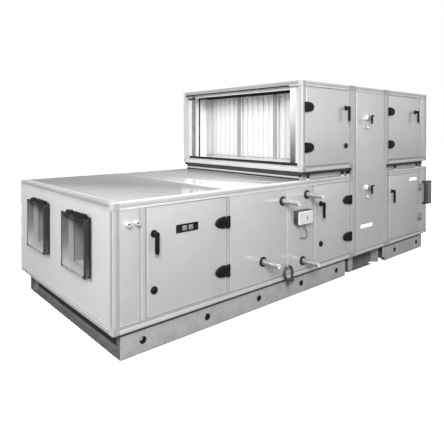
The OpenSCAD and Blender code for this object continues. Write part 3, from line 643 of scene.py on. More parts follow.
mb = MB()
wall_panel(mb, "back", PW, M2[0], 0, Z1)
wall_panel(mb, "back", M2[1], S3 - 1, 0, Z1)
wall_panel(mb, "back", S3 + 1, M4[0], 0, Z1)
wall_panel(mb, "back", M4[1], XA - JW, 0, Z1)
wall_panel(mb, "back", XE + PW, XA - JW, Z2, Z3)
wall_panel(mb, "back", XW0 + JW - 2, XW1 - JW + 2, 0, Z3)
for z in (0, Z2):
    wall_panel(mb, "back", XC0 + JW, M5[0], z, z + 900)
    wall_panel(mb, "back", M5[1], XC1 - PW, z, z + 900)
mb.obj("back_panel_skins", "casing", "back_panels")

LONG_SPANS = ((PW + 1, 1038), (1040, XE - 4), (XE - 2, XA - JW - 1))


def flat_panels(mb, side, spans_z):
    for x0, x1, z in spans_z:
        # top panels take the darker top paint, rim and lip included: painted shade
        panel(mb, side, z, x0, x1, PD + 1, W - PD - 1, bead=0.0, skin=TOPS_SHADED if side == "top" else None, rim=TOPS_SHADED if side == "top" else None, lip=TOPS_SHADED if side == "top" else None)


mb = MB()
flat_panels(mb, "top", [(a, b, Z1) for a, b in LONG_SPANS] + [(XE + PW + 1, XA - JW - 1, Z3), (XW0 + JW - 1, XW1 - JW + 1, Z3)]
            + [(XC0 + JW + 1, XC1 - PW - 1, z) for z in (Z1, Z3)])
mb.obj("top_panel_skins", "casing", "top_panels")
mb = MB()
flat_panels(mb, "bottom", [(a, b, 2) for a, b in LONG_SPANS] + [(XE + PW + 1, XA - JW - 1, Z2 + 2), (XW0 + JW - 1, XW1 - JW + 1, 2)]
            + [(XC0 + JW + 1, XC1 - PW - 1, z + 2) for z in (0, Z2)])
mb.obj("floor_panel_skins", "casing", "floor_panels")

mb = MB()
for side, c in (("left", XW0 + 2), ("right", XW1 - 2)):
    panel(mb, side, c, PD + 1, W - PD - 1, RH + 1, Z3 - RH - 1, bead=1.2)
mb.obj("wheel_side_skins", "casing", "wheel_side_panels")


def end_panel(mb, side, c, zb):
    """End wall with two outlet openings: edge band, then a skin split round the holes."""
    u0, u1, v0, v1 = PD + 1, W - PD - 1, zb + RH + 1, zb + 900 - RH - 1
    t = 46
    lv = [(0.0, -t), (0.0, -2.2), (0.5, -0.5), (1.6, 1.0), (2.8, 1.2), (4.6, 1.2), (5.8, 0.8), (6.6, -0.25), (8.0, -0.25), (9.2, 0.0)]
    ms = [INNER, PANEL, PANEL, PANEL, PANEL, PANEL, PANEL, LIP_SHADED, PANEL, PANEL]
    rect_loft(mb, side, c, u0, u1, v0, v1, lv, PANEL, mats=ms, cap0=False, cap1=False)
    hw, hh = 203, 200.5
    us = [u0 + 9.2, FANY[0] - hw, FANY[0] + hw, FANY[1] - hw, FANY[1] + hw, u1 - 9.2]
    vs = [v0 + 9.2, zb + FANZ - hh, zb + FANZ + hh, v1 - 9.2]
    for lay, m, ins in ((0.0, PANEL, 0.0), (-t, INNER, -9.2)):
        uu = [us[0] + ins] + us[1:-1] + [us[-1] - ins]
        vv = [vs[0] + ins] + vs[1:-1] + [vs[-1] - ins]
        base = len(mb.v)
        mb.v += [SIDE[side](u, v, lay, c) for v in vv for u in uu]
        for j in range(3):
            for i in range(5):
                if j == 1 and i in (1, 3):
                    continue
                a = base + j * 6 + i
                mb.f.append((a, a + 1, a + 7, a + 6))
                mb.mi.append(mb.mat(m))
    for y in FANY:
        rect_loft(mb, side, c, y - hw, y + hw, zb + FANZ - hh, zb + FANZ + hh, [(0, -t), (0, 0)], GALV, cap0=False, cap1=False)


mb = MB()
end_panel(mb, "left", 2, 0)
o = mb.obj("end_panel_left_skin", "casing", "end_panel_left")
mb = MB()
end_panel(mb, "right", XC1 - 2, Z2)
mb.obj("end_panel_right_skin", "casing", "end_panel_right")

# ---------------------------------------------------------------------------
# doors, their seals and fittings
# ---------------------------------------------------------------------------

DOORS = {
    # name: (x0, x1, deck underside, hinge axis x, side of the door from its pin, handle x)
    "fan": (270, 1014, 0, 1017, -1, 322),
    "filter": (2202, 2806, 0, 2809, -1, 2292),
    "inlet": (2062, 2806, Z2, 2059, 1, 2738),
    "exhaust": (3681, 4476, Z2, 3678, 1, 4346),
    "intake": (3681, 4476, 0, 4479, -1, 3722),
}
HZ, LZ, KZ = (640, 242), 246, 650


def door(name):
    x0, x1, zb, ax, s, hx = DOORS[name]
    v0, v1 = zb + 61, zb + 839
    mb = MB()
    # outer skin with a rolled edge in a lighter paint as painted highlight and a groove in the darker lip paint as
    # painted shade, body, inner skin with a step for the seal
    lv = [(17.0, -46), (14.5, -46), (14.0, -45.2), (14.0, -41), (1.4, -41), (0.0, -39.5), (0.0, -3.4), (0.5, -1.4), (1.6, -0.35), (2.8, 0.0), (5.4, 0.0),
          (6.6, -0.4), (7.4, -1.2), (9.0, -1.2), (10.2, -0.9)]
    ms = [INNER, INNER, INNER, INNER, INNER, INNER, RIM_LIT, RIM_LIT, RIM_LIT, RIM_LIT, RIM_LIT, RIM_LIT, LIP_SHADED, PANEL, PANEL]
    rect_loft(mb, "front", 0, x0, x1, v0, v1, lv, PANEL, mats=ms, rad=4.0, seg=2)
    mb.mi[-1] = mb.mat(PANEL)
    mb.mi[-2] = mb.mat(INNER)
    mb.obj(f"{name}_door_leaf", f"{name}_door", f"{name}_door")
    # hollow rubber seal on the inner step
    mb = MB()
    sec = [(2.5, -41.2), (2.0, -43.0), (3.0, -45.0), (5.5, -45.9), (8.0, -45.0), (9.0, -43.0), (8.5, -41.2)]
    ring(mb, "front", 0, x0, x1, v0, v1, sec, RUBBER, rad=8, seg=3)
    mb.obj(f"{name}_door_seal", f"{name}_door", ())
    # grey strip in the frame rebate, behind the hairline round the door
    mb = MB()
    ring(mb, "front", 0, x0 - 6, x1 + 6, v0 - 6, v1 + 6, [(0.2, -7), (2.0, -7), (3.0, -9), (3.0, -20), (2.0, -22), (0.2, -22)], SEAL)
    mb.obj(f"{name}_door_rebate", "casing", ())


def dshape(x, z, s, w, a, n=24):
    """Half-round outline of a hinge cover, inset by a."""
    r, u0, u1 = 48 - a, 17 + a, w - a
    pts = []
    for i in range(n + 1):
        t = -PI / 2 + PI * i / n
        pts.append((x + s * (u0 + (u1 - u0) * max(0.0, C(t)) ** 0.82), z + r * S(t)))
    return pts


def knuckle(mb, x, z0, z1, m, bore=5.1):
    revolve(mb, "z", x, -16, [(bore, z0), (10.0, z0), (11, z0 + 1), (11, z1 - 1), (10.0, z1), (bore, z1)], m, 32, closed=True)


def hinge_leaf(mb, x, z, s, w):
    lv = [(1.0, 0), (0, -1.0), (0, -11.0), (1.6, -14.5), (4.5, -17.0), (8.0, -18.0), (13.0, -18.0), (14.0, -16.6), (17.0, -16.2), (20, -16.2), (21.0, -17.2), (24, -17.6)]
    loops = [[(u, y, v) for u, v in dshape(x, z, s, w, a)] for a, y in lv]
    mb.lofts(loops, HINGE, mats=[HINGE] * 6 + [BLACK2] * 3 + [HINGE] * 3)
    knuckle(mb, x, z - 24, z + 24, BLACK)
    # web from the knuckle to the cover
    xs = sorted((x + s * 8.5, x + s * 20))
    rbox(mb, xs[0], xs[1], -22, -1, z - 23.5, z + 23.5, BLACK, 2.5)
    # screw caps
    for dz in (-15, 15):
        revolve(mb, "y", x + s * (w - 66), z + dz, [(6.2, -17.0), (6.2, -17.9), (5.2, -18.4), (0, -18.4)], BLACK2, 24)


def slim_leaf(mb, x, z, s):
    xs = sorted((x + s * 8.5, x + s * 44))
    rbox(mb, xs[0], xs[1], -20, -0.3, z - 24, z + 24, MIDGREY, 3.0, 3)
    knuckle(mb, x, z - 24, z + 24, MIDGREY)
    for dz in (-12, 12):
        screw(mb, "y", x + s * 31, z + dz, -20, -1, 4.6)


def hinge_base(mb, x, z, s, m, dark):
    revolve(mb, "z", x, -16, [(0, z - 47.6), (4, z - 47.6), (5, z - 46.6), (5, z + 46.6), (4, z + 47.6), (0, z + 47.6)], ZINC, 24)
    for a, b in ((-48, -25), (25, 48)):
        knuckle(mb, x, z + a, z + b, m, 5.02)
        xs = sorted((x - s * 8.5, x - s * 26))
        rbox(mb, xs[0], xs[1], -22, -0.2, z + a, z + b, m, 2.5)
    xs = sorted((x - s * 14, x - s * 26))
    rbox(mb, xs[0], xs[1], -22, -0.2, z - 48, z + 48, m, 3.0, 3)


def rosette(mb, x, z, m):
    revolve(mb, "y", x, z, [(8.1, 0), (27, 0), (27, -3.5), (25.6, -6.0), (22, -7.6), (14, -8.0), (12.5, -7.2), (9.5, -7.2), (8.1, -7.8)], m, 44, closed=True)
    for a in (45, 225):
        screw(mb, "y", x + 20 * C(math.radians(a)), z + 20 * S(math.radians(a)), -7.3, -0.5, 2.6, BLACK2)


def lock(mb, x, z):
    n = 32
    ci = lambda r, y: [(x + r * C(2 * PI * i / n), y, z + r * S(2 * PI * i / n)) for i in range(n)]

    def sq(h, y):
        out = []
        for i in range(n):
            c, q = C(2 * PI * i / n), S(2 * PI * i / n)
            k = h / max(abs(c), abs(q))
            out.append((x + k * c, y, z + k * q))
        return out

    mb.lofts([ci(28, 0), ci(28, -7), ci(26.5, -10.2), ci(23.5, -12), ci(20.2, -12), ci(19, -12.8), ci(19, -16), ci(17.6, -17.6), ci(15.5, -18), sq(6.4, -18), sq(6, -17.5), sq(6, -12.2)],
             BLACK, mats=[BLACK] * 4 + [BLACK2] * 5 + [BLACK] * 3)


def lever(name):
    x0, x1, zb, ax, s, x = DOORS[name]
    z = zb + KZ
    mb = MB()
    revolve(mb, "y", x, z, [(7.9, -1), (7.9, -9), (15, -9), (17.4, -10), (18.3, -13), (18.8, -34), (19, -46), (18.2, -50.5), (15.6, -53.2), (11.5, -54), (10.5, -53.2), (0, -53.2)],
            BLACK, 36)
    loops = []
    for d, hw, y0, y1 in ((-15, 9.5, -52.0, -41), (-9, 14.5, -53.5, -38.5), (6, 16.8, -54, -36.5), (30, 16.4, -53.4, -35.6), (62, 16.0, -52.8, -35.2), (95, 16.0, -52.8, -35.2), (116, 16.6, -53.4, -35.8),
                          (129, 15.2, -53.6, -37.0), (137, 11.8, -53.2, -39.2), (140, 7.5, -52.0, -41.6)):
        hy, cy = (y1 - y0) / 2, (y0 + y1) / 2
        loops.append([(x + u, cy + v, z - d) for u, v in rrect(hw, hy, min(4.6, hy * 0.8, hw * 0.8), 3)])
    mb.lofts(loops, BLACK)
    mb.obj(f"{name}_lever", f"{name}_handle", f"{name}_door_handle", angle=40)


for name, (x0, x1, zb, ax, s, hx) in DOORS.items():
    door(name)
    lever(name)
    mb = MB()
    for hz in HZ:
        if name == "intake":
            slim_leaf(mb, ax, zb + hz, s)
        else:
            hinge_leaf(mb, ax, zb + hz, s, 122 if s < 0 else 110)
    rosette(mb, hx, zb + KZ, MIDGREY if name == "intake" else BLACK)
    if name in ("fan", "filter", "inlet"):
        lock(mb, hx, zb + LZ)
    if name == "fan":
        # blank black plate with two plain grey fields in a thin bezel
        rect_loft(mb, "front", 0, 515, 722, 621, 684, [(0, 0), (0, 2.6), (1.4, 4.0), (5.0, 4.0), (6.0, 3.2)], BLACK2, rad=4)
        for a, b in ((571, 613), (629, 671)):
            rect_loft(mb, "front", -3.2, a, b, 634, 671, [(0, 0), (0, 0.5), (0.7, 0.8)], MIDGREY, rad=2.5)
        for u in (523, 714):
            screw(mb, "y", u, 652, -3.2, -0.5, 3.0, BLACK)
    mb.obj(f"{name}_door_hardware", f"{name}_door", f"{name}_door_fittings", angle=36)

mb = MB()
for name, (x0, x1, zb, ax, s, hx) in DOORS.items():
    for hz in HZ:
        hinge_base(mb, ax, zb + hz, s, MIDGREY if name == "intake" else BLACK, BLACK2)
mb.obj("hinge_knuckles", "casing", "hinge_bases", angle=36)

# ---------------------------------------------------------------------------
# fittings on the front
# ---------------------------------------------------------------------------

mb = MB()
for x in (109, 178):
    revolve(mb, "y", x, 747, [(0, 2), (19, 2), (19, -3), (17.5, -5), (15.5, -6), (15.5, -20), (16.5, -21), (17.5, -23), (17.5, -31), (16.3, -33.4), (14, -34), (11.4, -34), (10, -32.8), (10, -15)],
            PLUG, 36, mats=[PLUG] * 13)
    revolve(mb, "y", x, 747, [(9.9, -16), (9.9, -20), (8.6, -22.5), (5, -23.2), (3.4, -22.4), (0, -22.0)], GREY, 30)
    for k in range(14):
        a = 2 * PI * k / 14
        rbox(mb, x + 17.2 * C(a) - 1.1, x + 17.2 * C(a) + 1.1, -30, -24, 747 + 17.2 * S(a) - 1.1, 747 + 17.2 * S(a) + 1.1, PLUG, 0.6, 1)
mb.obj("test_point_plugs", "casing", "test_points")

PIPES = ((1714, 737), (2070, 764), (1449, 228), (2006, 130))
mb = MB()
for x, z in PIPES:
    R = 24.15
    # plain end, bevelled for welding
    prof = [(0, -12.5), (R, -12.5), (R, -60), (R, -110), (R, -160), (R, -185.0), (R - 0.6, -187.4), (R - 1.8, -189.6), (R - 2.4, -190), (R - 3.0, -189.6), (R - 3.2, -188), (R - 3.2, -34), (R - 6, -31), (0, -31)]
    revolve(mb, "y", x, z, prof, PIPE, 44)
    # weld bead next to the casing
    revolve(mb, "y", x, z, [(R - 1, -13), (R + 2.2, -13.5), (R + 2.8, -15), (R + 1.8, -17), (R - 1, -18)], PIPE, 44, closed=True)
mb.obj("pipe_ends", "casing", "pipe_stubs")
mb = MB()
for x, z in PIPES:
    # push-in protection plug, its domed face inside the pipe's mouth
    revolve(mb, "y", x, z, [(20.6, -150), (20.8, -184), (22.6, -186.5), (22.8, -188.5), (21.6, -189.6), (17, -190), (15.5, -189), (14.5, -186.5), (0, -185.5)], WHITE, 40)
mb.obj("pipe_plugs", "casing", ())

mb = MB()
for x, z in PIPES:
    revolve(mb, "y", x, z, [(24.5, 2), (43, 2), (43, -3.5), (41.8, -6.5), (39, -8.2), (34.5, -9.0), (33.5, -10.6), (31.5, -12), (27.5, -12), (25.6, -11.2), (24.5, -9.5)], RUBBER, 48, closed=True)
mb.obj("pipe_grommets", "casing", "pipe_rosettes")

# thermostat: dark body, pale cover, cable gland
mb = MB()
rect_loft(mb, "front", 2, 1873, 2087, 495, 627, [(2, 0), (0, 2), (0, 50), (1.2, 51.2), (2.6, 51.2), (2.6, 53)], GREY, rad=10, seg=4)
rect_loft(mb, "front", -51, 1876, 2086, 497, 618, [(1.5, 0), (0, 1.2), (0, 8.5), (0.9, 11.2), (2.6, 12.6), (5.2, 13), (9, 13)], WHITE, rad=12, seg=4)
rect_loft(mb, "front", -63.4, 1990, 2006, 536, 580, [(0, 0), (0, 0.8), (0.7, 1.2)], MIDGREY, rad=4)
for u, v in ((1889, 509), (2074, 509), (1889, 606), (2074, 606)):
    revolve(mb, "y", u, v, [(4.6, -63.4), (4.6, -63.9), (3.4, -64.0), (2.2, -63.2), (0, -63.2)], WHITE, 20)
for k in range(5):
    rect_loft(mb, "left", 1873, -40 + k * 9, -35 + k * 9, 515, 560, [(0, -0.5), (0, 0.5), (1.2, 0.9)], RUBBER, rad=2)
ngon(mb, "z", 1990, -32, 496, 488.5, 11.5, 6, GREY, 1.0)
revolve(mb, "z", 1990, -32, [(9.6, 489), (9.6, 484), (8.6, 481), (6.4, 480.2), (5.1, 480.2)], GREY, 28)
mb.obj("thermostat", "casing", "thermostat_box")


def bez(a, b, c, d, t):
    return tuple(a[i] * (1 - t) ** 3 + b[i] * 3 * t * (1 - t) ** 2 + c[i] * 3 * t * t * (1 - t) + d[i] * t ** 3 for i in range(3))


LEAD = [(1990, -32, 480), (1990, -32, 472)] + [bez((1990, -32, 472), (1992, -32, 440), (2034, -32, 430), (2034, -32, 388), i / 16) for i in range(1, 17)] \
    + [(2004 + 30 * C(math.radians(a)), -32, 388 - 30 * S(math.radians(a))) for a in range(9, 91, 9)] \
    + [(2004 - 32 * S(math.radians(a)), -32 * C(math.radians(a)), 358) for a in range(9, 91, 9)] + [(1972, 2, 358)]
mb = MB()
tube(mb, LEAD, 5.0, FLEX, 16)
lead = mb.obj("thermostat_flex", "casing", "thermostat_lead")
mb = MB()
revolve(mb, "y", 1972, 358, [(5.3, 2), (12, 2), (12, 0.5), (10.5, -1.0), (8, -1.6), (7.2, -5), (5.6, -6)], MIDGREY, 28, closed=True)
mb.obj("lead_grommet", "casing", ())

# condensate siphon: leaning loop of grey pipe with sleeve nuts
mb = MB()
path = [(1813, -30, -12), (1813, -30, 20), (1813, -30, 50), (1813, -30, 76)]
for a in range(9, 200, 9):
    t = math.radians(a)
    path.append((1757 + 56 * C(t), -30, 76 + 56 * S(t)))
path += [bez((1704.2, -30, 57.2), (1710.2, -30, 40), (1726, -30, 25), (1740, -30, 7.6), i / 8) for i in range(1, 9)] + [(1746, -30, 0), (1751, -30, -9), (1754, -30, -24)]
tube(mb, path, 12.2, GREY, 24)
for cx, z0, z1 in ((1813, -24, 12), (1813, 50, 79), (1754, -40, -12)):
    revolve(mb, "z", cx, -30, [(11, z0), (13.2, z0), (14, z0 + 1.2), (14, z1 - 1.2), (13.2, z1), (11, z1)], GREY, 32, closed=True)
    for k in range(10):
        a = 2 * PI * k / 10
        rbox(mb, cx + 13.4 * C(a) - 1, cx + 13.4 * C(a) + 1, -30 + 13.4 * S(a) - 1, -30 + 13.4 * S(a) + 1, z0 + 4, z1 - 4, GREY, 0.5, 1)
# paler band at the crown: painted highlight
tube(mb, path[14:17], 13.0, MIDGREY, 24)
revolve(mb, "y", 1813, -12.5, [(11, -26), (11, 40), (0.5, 40)], GREY, 28)
revolve(mb, "y", 1813, -12.5, [(11, 28), (17, 28), (17, 38), (11, 38)], RUBBER, 28, closed=True)
revolve(mb, "z", 1754, -30, [(8.5, -40), (8.5, -27), (0, -27)], RUBBER, 28)
mb.obj("drain_siphon", "casing", "drain_trap")

# latches of the heat-recovery panel
mb = MB()
for z in (1530, 740):
    x = 3150
    revolve(mb, "y", x, z, [(0, 2), (33, 2), (33, -5), (31.5, -7.5), (28.5, -8.5), (27.5, -10), (26.5, -38), (26.0, -39), (29, -40.5), (29, -57), (27, -60.5), (23, -62), (14, -62), (12.5, -62.5)],
            WHITE, 44, mats=[WHITE] * 6 + [MIDGREY] * 8)
    for k in range(24):
        a = 2 * PI * k / 24
        rbox(mb, x + 29 * C(a) - 1.3, x + 29 * C(a) + 1.3, -56, -42, z + 29 * S(a) - 1.3, z + 29 * S(a) + 1.3, GREY, 0.6, 1)
    for k in range(4):
        a = PI / 4 + k * PI / 2
        screw(mb, "y", x + 30.2 * C(a), z + 30.2 * S(a), -7.0, -0.5, 2.2)
    revolve(mb, "y", x, z, [(12, -61), (12, -65), (11, -66), (11, -78), (9.5, -80), (0, -80)], BLACK2, 30)
    # r-shaped lever: a post with a curved arm to the right
    loops = []
    for px, pz, hw in ((x, z - 66, 6), (x, z - 61, 10.5), (x, z - 50, 12.5), (x, z - 10, 13), (x, z + 4, 13), (x + 2, z + 15, 12.5), (x + 9, z + 23.5, 10.5), (x + 20, z + 25, 9.5), (x + 33, z + 25, 8.5), (x + 40, z + 25, 6.5), (x + 42, z + 25, 4)):
        loops.append((px, pz, hw))
    lp = []
    n = len(loops)
    for i, (px, pz, hw) in enumerate(loops):
        a = Vector(loops[min(i + 1, n - 1)][:2]) - Vector(loops[max(i - 1, 0)][:2])
        a.normalize()
        nx, nz = -a.y, a.x
        lp.append([(px + nx * u, -73 + v, pz + nz * u) for u, v in rrect(hw, 7, min(3.5, hw * 0.7), 3)])
    mb.lofts(lp, BLACK)
    # round stop below it, the rim of its flange dark grey as painted shade
    revolve(mb, "y", x + 16, z - 106, [(0, 2), (20, 2), (20, -4), (18.5, -6.5), (13.5, -7.5), (12.8, -9), (12.8, -22), (15, -23.5), (15, -28), (13.4, -30), (0, -30)], WHITE, 36, mats=[GREY] * 2 + [WHITE] * 9)
mb.obj("wheel_panel_latches", "casing", "wheel_latches", angle=38)

# ribbed box at the right front corner
mb = MB()
rect_loft(mb, "front", -8, 4620, 4740, 395, 709, [(2, 0), (0, 2), (0, 27), (1, 29), (2.4, 29), (2.4, 31), (1.0, 31), (0, 32.5), (0, 38.5), (1.2, 40.6), (3.5, 41.4)], GREY, rad=8, seg=4)
for k in range(9):
    u = 4630 + k * 12.5 - 2.6
    rect_loft(mb, "front", -49.2, u, u + 5.2, 408, 696, [(0, 0), (0.2, 1.0), (1.2, 1.8)], MIDGREY, rad=2.2)
for k in range(14):
    v = 418 + k * 20
    rect_loft(mb, "right", 4739.6, -44, -14, v, v + 6, [(0, -1), (0, 0.1), (1.2, 0.4)], RUBBER, rad=2)
for z0, z1 in ((398, 420), (684, 706)):
    rect_loft(mb, "front", 0, 4560, 4652, z0, z1, [(1, 0), (0, 0.8), (0, 7), (1, 8)], BLACK, rad=7, seg=4)
    screw(mb, "y", 4572, (z0 + z1) / 2, -8, -1, 5.5)
    screw(mb, "y", 4600, (z0 + z1) / 2, -8, -1, 5.5)
rect_loft(mb, "front", 0, 4625, 4690, 410, 690, [(0, 0), (0, 8.5)], BLACK, rad=4)
mb.obj("drive_housing", "casing", "drive_box")

# blank labels, set on the paint; their faint emission is a painted glow
LABEL_GLOW.node_tree.nodes["Principled BSDF"].inputs["Emission Color"].default_value = (1, 1, 1, 1)
LABEL_GLOW.node_tree.nodes["Principled BSDF"].inputs["Emission Strength"].default_value = 0.36
mb = MB()
rect_loft(mb, "front", 2, 3040, 3290, 285, 325, [(0, 0), (0, 0.5), (0.5, 0.8)], LABEL_GLOW, rad=3)
mb.obj("blank_label_wheel", "casing", ())
mb = MB()
rect_loft(mb, "front", 0.9, 4200, 4400, 735, 775, [(0, 0), (0, 0.5), (0.5, 0.8)], LABEL_GLOW, rad=3)
mb.obj("blank_label_intake", "intake_door", ())

# ---------------------------------------------------------------------------
# base
# ---------------------------------------------------------------------------


def channel(y0, d, h0, h1, t, R, s):
    """Folded channel section (y, z): web at y0, flanges towards +s*y, bends of outer radius R."""
    out, inn = [], []
    for i in range(5):
        a = math.radians(90 * i / 4)
        out.append((y0 + s * R * (1 - S(a)), h0 + R * (1 - C(a))))
    out = out[::-1]
    pts = [(y0 + s * d, h0)] + [(y0 + s * R * (1 - C(a)), h0 + R * (1 - S(a))) for a in [math.radians(90 - 22.5 * i) for i in range(5)]]
    pts += [(y0 + s * R * (1 - C(a)), h1 - R * (1 - S(a))) for a in [math.radians(22.5 * i) for i in range(5)]]
    pts += [(y0 + s * d, h1), (y0 + s * d, h1 - t)]
    r = max(R - t, 0.8)
    pts += [(y0 + s * (t + r * (1 - C(a))), h1 - t - r * (1 - S(a))) for a in [math.radians(90 - 22.5 * i) for i in range(5)]]
    pts += [(y0 + s * (t + r * (1 - C(a))), h0 + t + r * (1 - S(a))) for a in [math.radians(22.5 * i) for i in range(5)]]
    pts += [(y0 + s * d, h0 + t)]
    return pts


def holes(o, name, spots, r):
    """Round holes cut right through a channel's web: spots are (x, y, z)."""
    cut = MB()
    for x, y, z in spots:
        revolve(cut, "y", x, z, [(0, y - 30), (r, y - 30), (r, y + 30), (0, y + 30)], BASEDK, 40)
    me = bpy.data.meshes.new(name)
    me.from_pydata([P(*p) for p in cut.v], [], cut.f)
    me.materials.append(BASEDK)
    bm = bmesh.new()
    bm.from_mesh(me)
    bmesh.ops.recalc_face_normals(bm, faces=bm.faces)
    bm.to_mesh(me)
    bm.free()
    c = bpy.data.objects.new(name, me)
    bpy.context.scene.collection.objects.link(c)
    b = o.modifiers.new("holes", "BOOLEAN")
    b.operation = "DIFFERENCE"
    b.solver = "EXACT"
    b.object = c
    bpy.context.view_layer.update()
    done = bpy.data.meshes.new_from_object(o.evaluated_get(bpy.context.evaluated_depsgraph_get()))
    o.modifiers.clear()
    old = o.data
    o.data = done
    bpy.data.meshes.remove(old)
    bpy.data.objects.remove(c)
    done.polygons.foreach_set("use_smooth", [True] * len(done.polygons))
    done.set_sharp_from_angle(angle=math.radians(32))


LIFT, LIFT_R = (257, 849, 1441, 2033, 2625), (3885, 4472)
mb = MB()
for yo, s in ((40, 1), (W - 40, -1)):
    prism(mb, "x", channel(yo, 60, -200, -25, 6, 10, s), 80, 2789, BASE, ch=0)
o = mb.obj("base_rails_long", "casing", "base_long")
holes(o, "cut1", [(x, y, -105) for x in LIFT for y in (43, W - 43)], 24)
mb = MB()
# end channel, open outwards, in a darker copy of the base paint: painted shade under the casing
prism(mb, "y", [(u, v) for u, v in channel(140, 60, -200, -25, 6, 10, -1)], 101, W - 101, BASE_END_SHADED, ch=0)
for x in (1000, 1900, 2723):
    prism(mb, "y", [(u, v) for u, v in channel(x, 60, -140, -25, 5, 8, 1)], 101, W - 101, BASEDK, ch=0)
for y in (100.5, W - 100.5):
    s = 1 if y < 900 else -1
    hexbolt(mb, "x", y + s * 14, -70, 134, -1)
    hexbolt(mb, "x", y + s * 14, -150, 134, -1)
rbox(mb, 132.6, 134.4, 104, W - 104, -166, -112, RUBBER, 0.6, 1)
rbox(mb, 80.2, 84, W - 99, W - 42, -199, -26, BASE_END_SHADED, 0.6, 1)
rbox(mb, 80.2, 84, 42, 99, -199, -26, BASE_END_SHADED, 0.6, 1)
mb.obj("base_cross_long", "casing", ())
mb = MB()
for x in LIFT:
    for yo, s in ((40, 1), (W - 40, -1)):
        # pressed sleeve round each lifting hole
        revolve(mb, "y", x, -105, [(21.6, yo - s * 0.5), (23.0, yo - s * 1.6), (26.5, yo - s * 1.6), (27.5, yo - s * 0.2), (27.5, yo + s * 0.5), (23.8, yo + s * 0.6), (23.8, yo + s * 42), (21.6, yo + s * 42)], RUBBER, 36, closed=True)
for x in LIFT_R:
    for yo, s in ((40, 1), (W - 40, -1)):
        revolve(mb, "y", x, -105, [(21.6, yo - s * 0.5), (23.0, yo - s * 1.6), (26.5, yo - s * 1.6), (27.5, yo - s * 0.2), (27.5, yo + s * 0.5), (23.8, yo + s * 0.6), (23.8, yo + s * 42), (21.6, yo + s * 42)], RUBBER, 36, closed=True)
mb.obj("lifting_sleeves", "casing", ())

mb = MB()
for yo, s in ((40, 1), (W - 40, -1)):
    prism(mb, "x", channel(yo, 60, -200, -25, 6, 10, s), 3612, 4630, BASE, ch=0)
o = mb.obj("base_rails_right", "casing", "base_right")
holes(o, "cut2", [(x, y, -105) for x in LIFT_R for y in (43, W - 43)], 24)
cut = bpy.data.meshes.new("cut3")
tri = [(3611, -201), (3658, -201), (3611, -130)]
cut.from_pydata([P(x, y, z) for y in (-50, 2000) for x, z in tri], [], [(0, 2, 1), (3, 4, 5), (0, 1, 4, 3), (1, 2, 5, 4), (2, 0, 3, 5)])
cut.materials.append(BASEDK)
bm = bmesh.new(); bm.from_mesh(cut); bmesh.ops.recalc_face_normals(bm, faces=bm.faces); bm.to_mesh(cut); bm.free()
co = bpy.data.objects.new("cut3", cut)
bpy.context.scene.collection.objects.link(co)
b = o.modifiers.new("chamfer", "BOOLEAN"); b.operation = "DIFFERENCE"; b.solver = "EXACT"; b.object = co
bpy.context.view_layer.update()
done = bpy.data.meshes.new_from_object(o.evaluated_get(bpy.context.evaluated_depsgraph_get()))
o.modifiers.clear(); o.data = done; bpy.data.objects.remove(co)
done.set_sharp_from_angle(angle=math.radians(32))
mb = MB()
# cross channel in the darker end copy of the base paint: painted shade between the bases
prism(mb, "y", channel(3700, 60, -200, -25, 5, 8, 1), 101, W - 101, BASE_END_SHADED, ch=0)
prism(mb, "y", channel(4560, 60, -140, -25, 5, 8, 1), 101, W - 101, BASEDK, ch=0)
mb.obj("base_cross_right", "casing", ())

mb = MB()
for yo, s in ((40, 1), (W - 40, -1)):
    # web, flanges, closed post at the left, slanting bracket at the right; the base darkens towards the top and the
    # bracket is a darker copy of the base paint, both painted shade under the casing
    prism(mb, "x", channel(yo + s * 100, 58, -200, -25, 6, 9, -s), 2923, 3400, WHEEL_BASE_SHADED, ch=0)
    rbox(mb, 3399, 3489, *sorted((yo + s * 94, yo + s * 100)), -200, -25, WHEEL_BASE_SHADED, 0.8, 1)
    rbox(mb, 3399, 3479, *sorted((yo + s * 42, yo + s * 96)), -31, -25, WHEEL_BASE_SHADED, 0.8, 1)
    rbox(mb, 2916.2, 2922.4, *sorted((yo + s * 41, yo + s * 97)), -199.8, -25.2, BASEDK, 1.2, 2)
    rbox(mb, 2916.2, 3001.8, *sorted((yo + s * 40.2, yo + s * 46)), -199.8, -25.2, BASE, 1.6, 2)
    foot = [(3477, 96.5), (3508, 66.5), (3540, 32.4), (3543, 31.9), (3545.6, 32.6), (3545.6, 34.8), (3516, 66.5), (3486.5, 96.5)]
    prism(mb, "z", [(u, yo + s * v) for u, v in foot], -199.8, -25.2, BRACKET_SHADED, ch=0.6)
for x in (2930, 3410):
    prism(mb, "y", channel(x, 50, -140, -25, 5, 8, 1), 142, W - 142, BASEDK, ch=0)
mb.obj("base_rails_wheel", "casing", "base_wheel")

mb = MB()
for a, b in ((100, 2780), (2830, 3460), (3630, 4610)):
    for y0, y1 in ((60, 96), (W - 96, W - 60)):
        k = 0 if a != 2830 else (30 if y0 < 900 else -30)
        sec = [(y0 + k, -25), (y1 + k, -25), (y1 + k, -17), (y1 + k - 3, -14.5), (y1 + k - 3, -10.5), (y1 + k, -8), (y1 + k, 0), (y0 + k, 0), (y0 + k, -8), (y0 + k + 3, -10.5), (y0 + k + 3, -14.5), (y0 + k, -17)]
        prism(mb, "x", sec, a, b, RUBBER, 1.0)
for a, b in ((90, 130), (4570, 4610)):
    sec = [(a, -25), (b, -25), (b, -17), (b - 3, -14.5), (b - 3, -10.5), (b, -8), (b, 0), (a, 0), (a, -8), (a + 3, -10.5), (a + 3, -14.5), (a, -17)]
    prism(mb, "y", sec, 110, W - 110, RUBBER, 1.0)
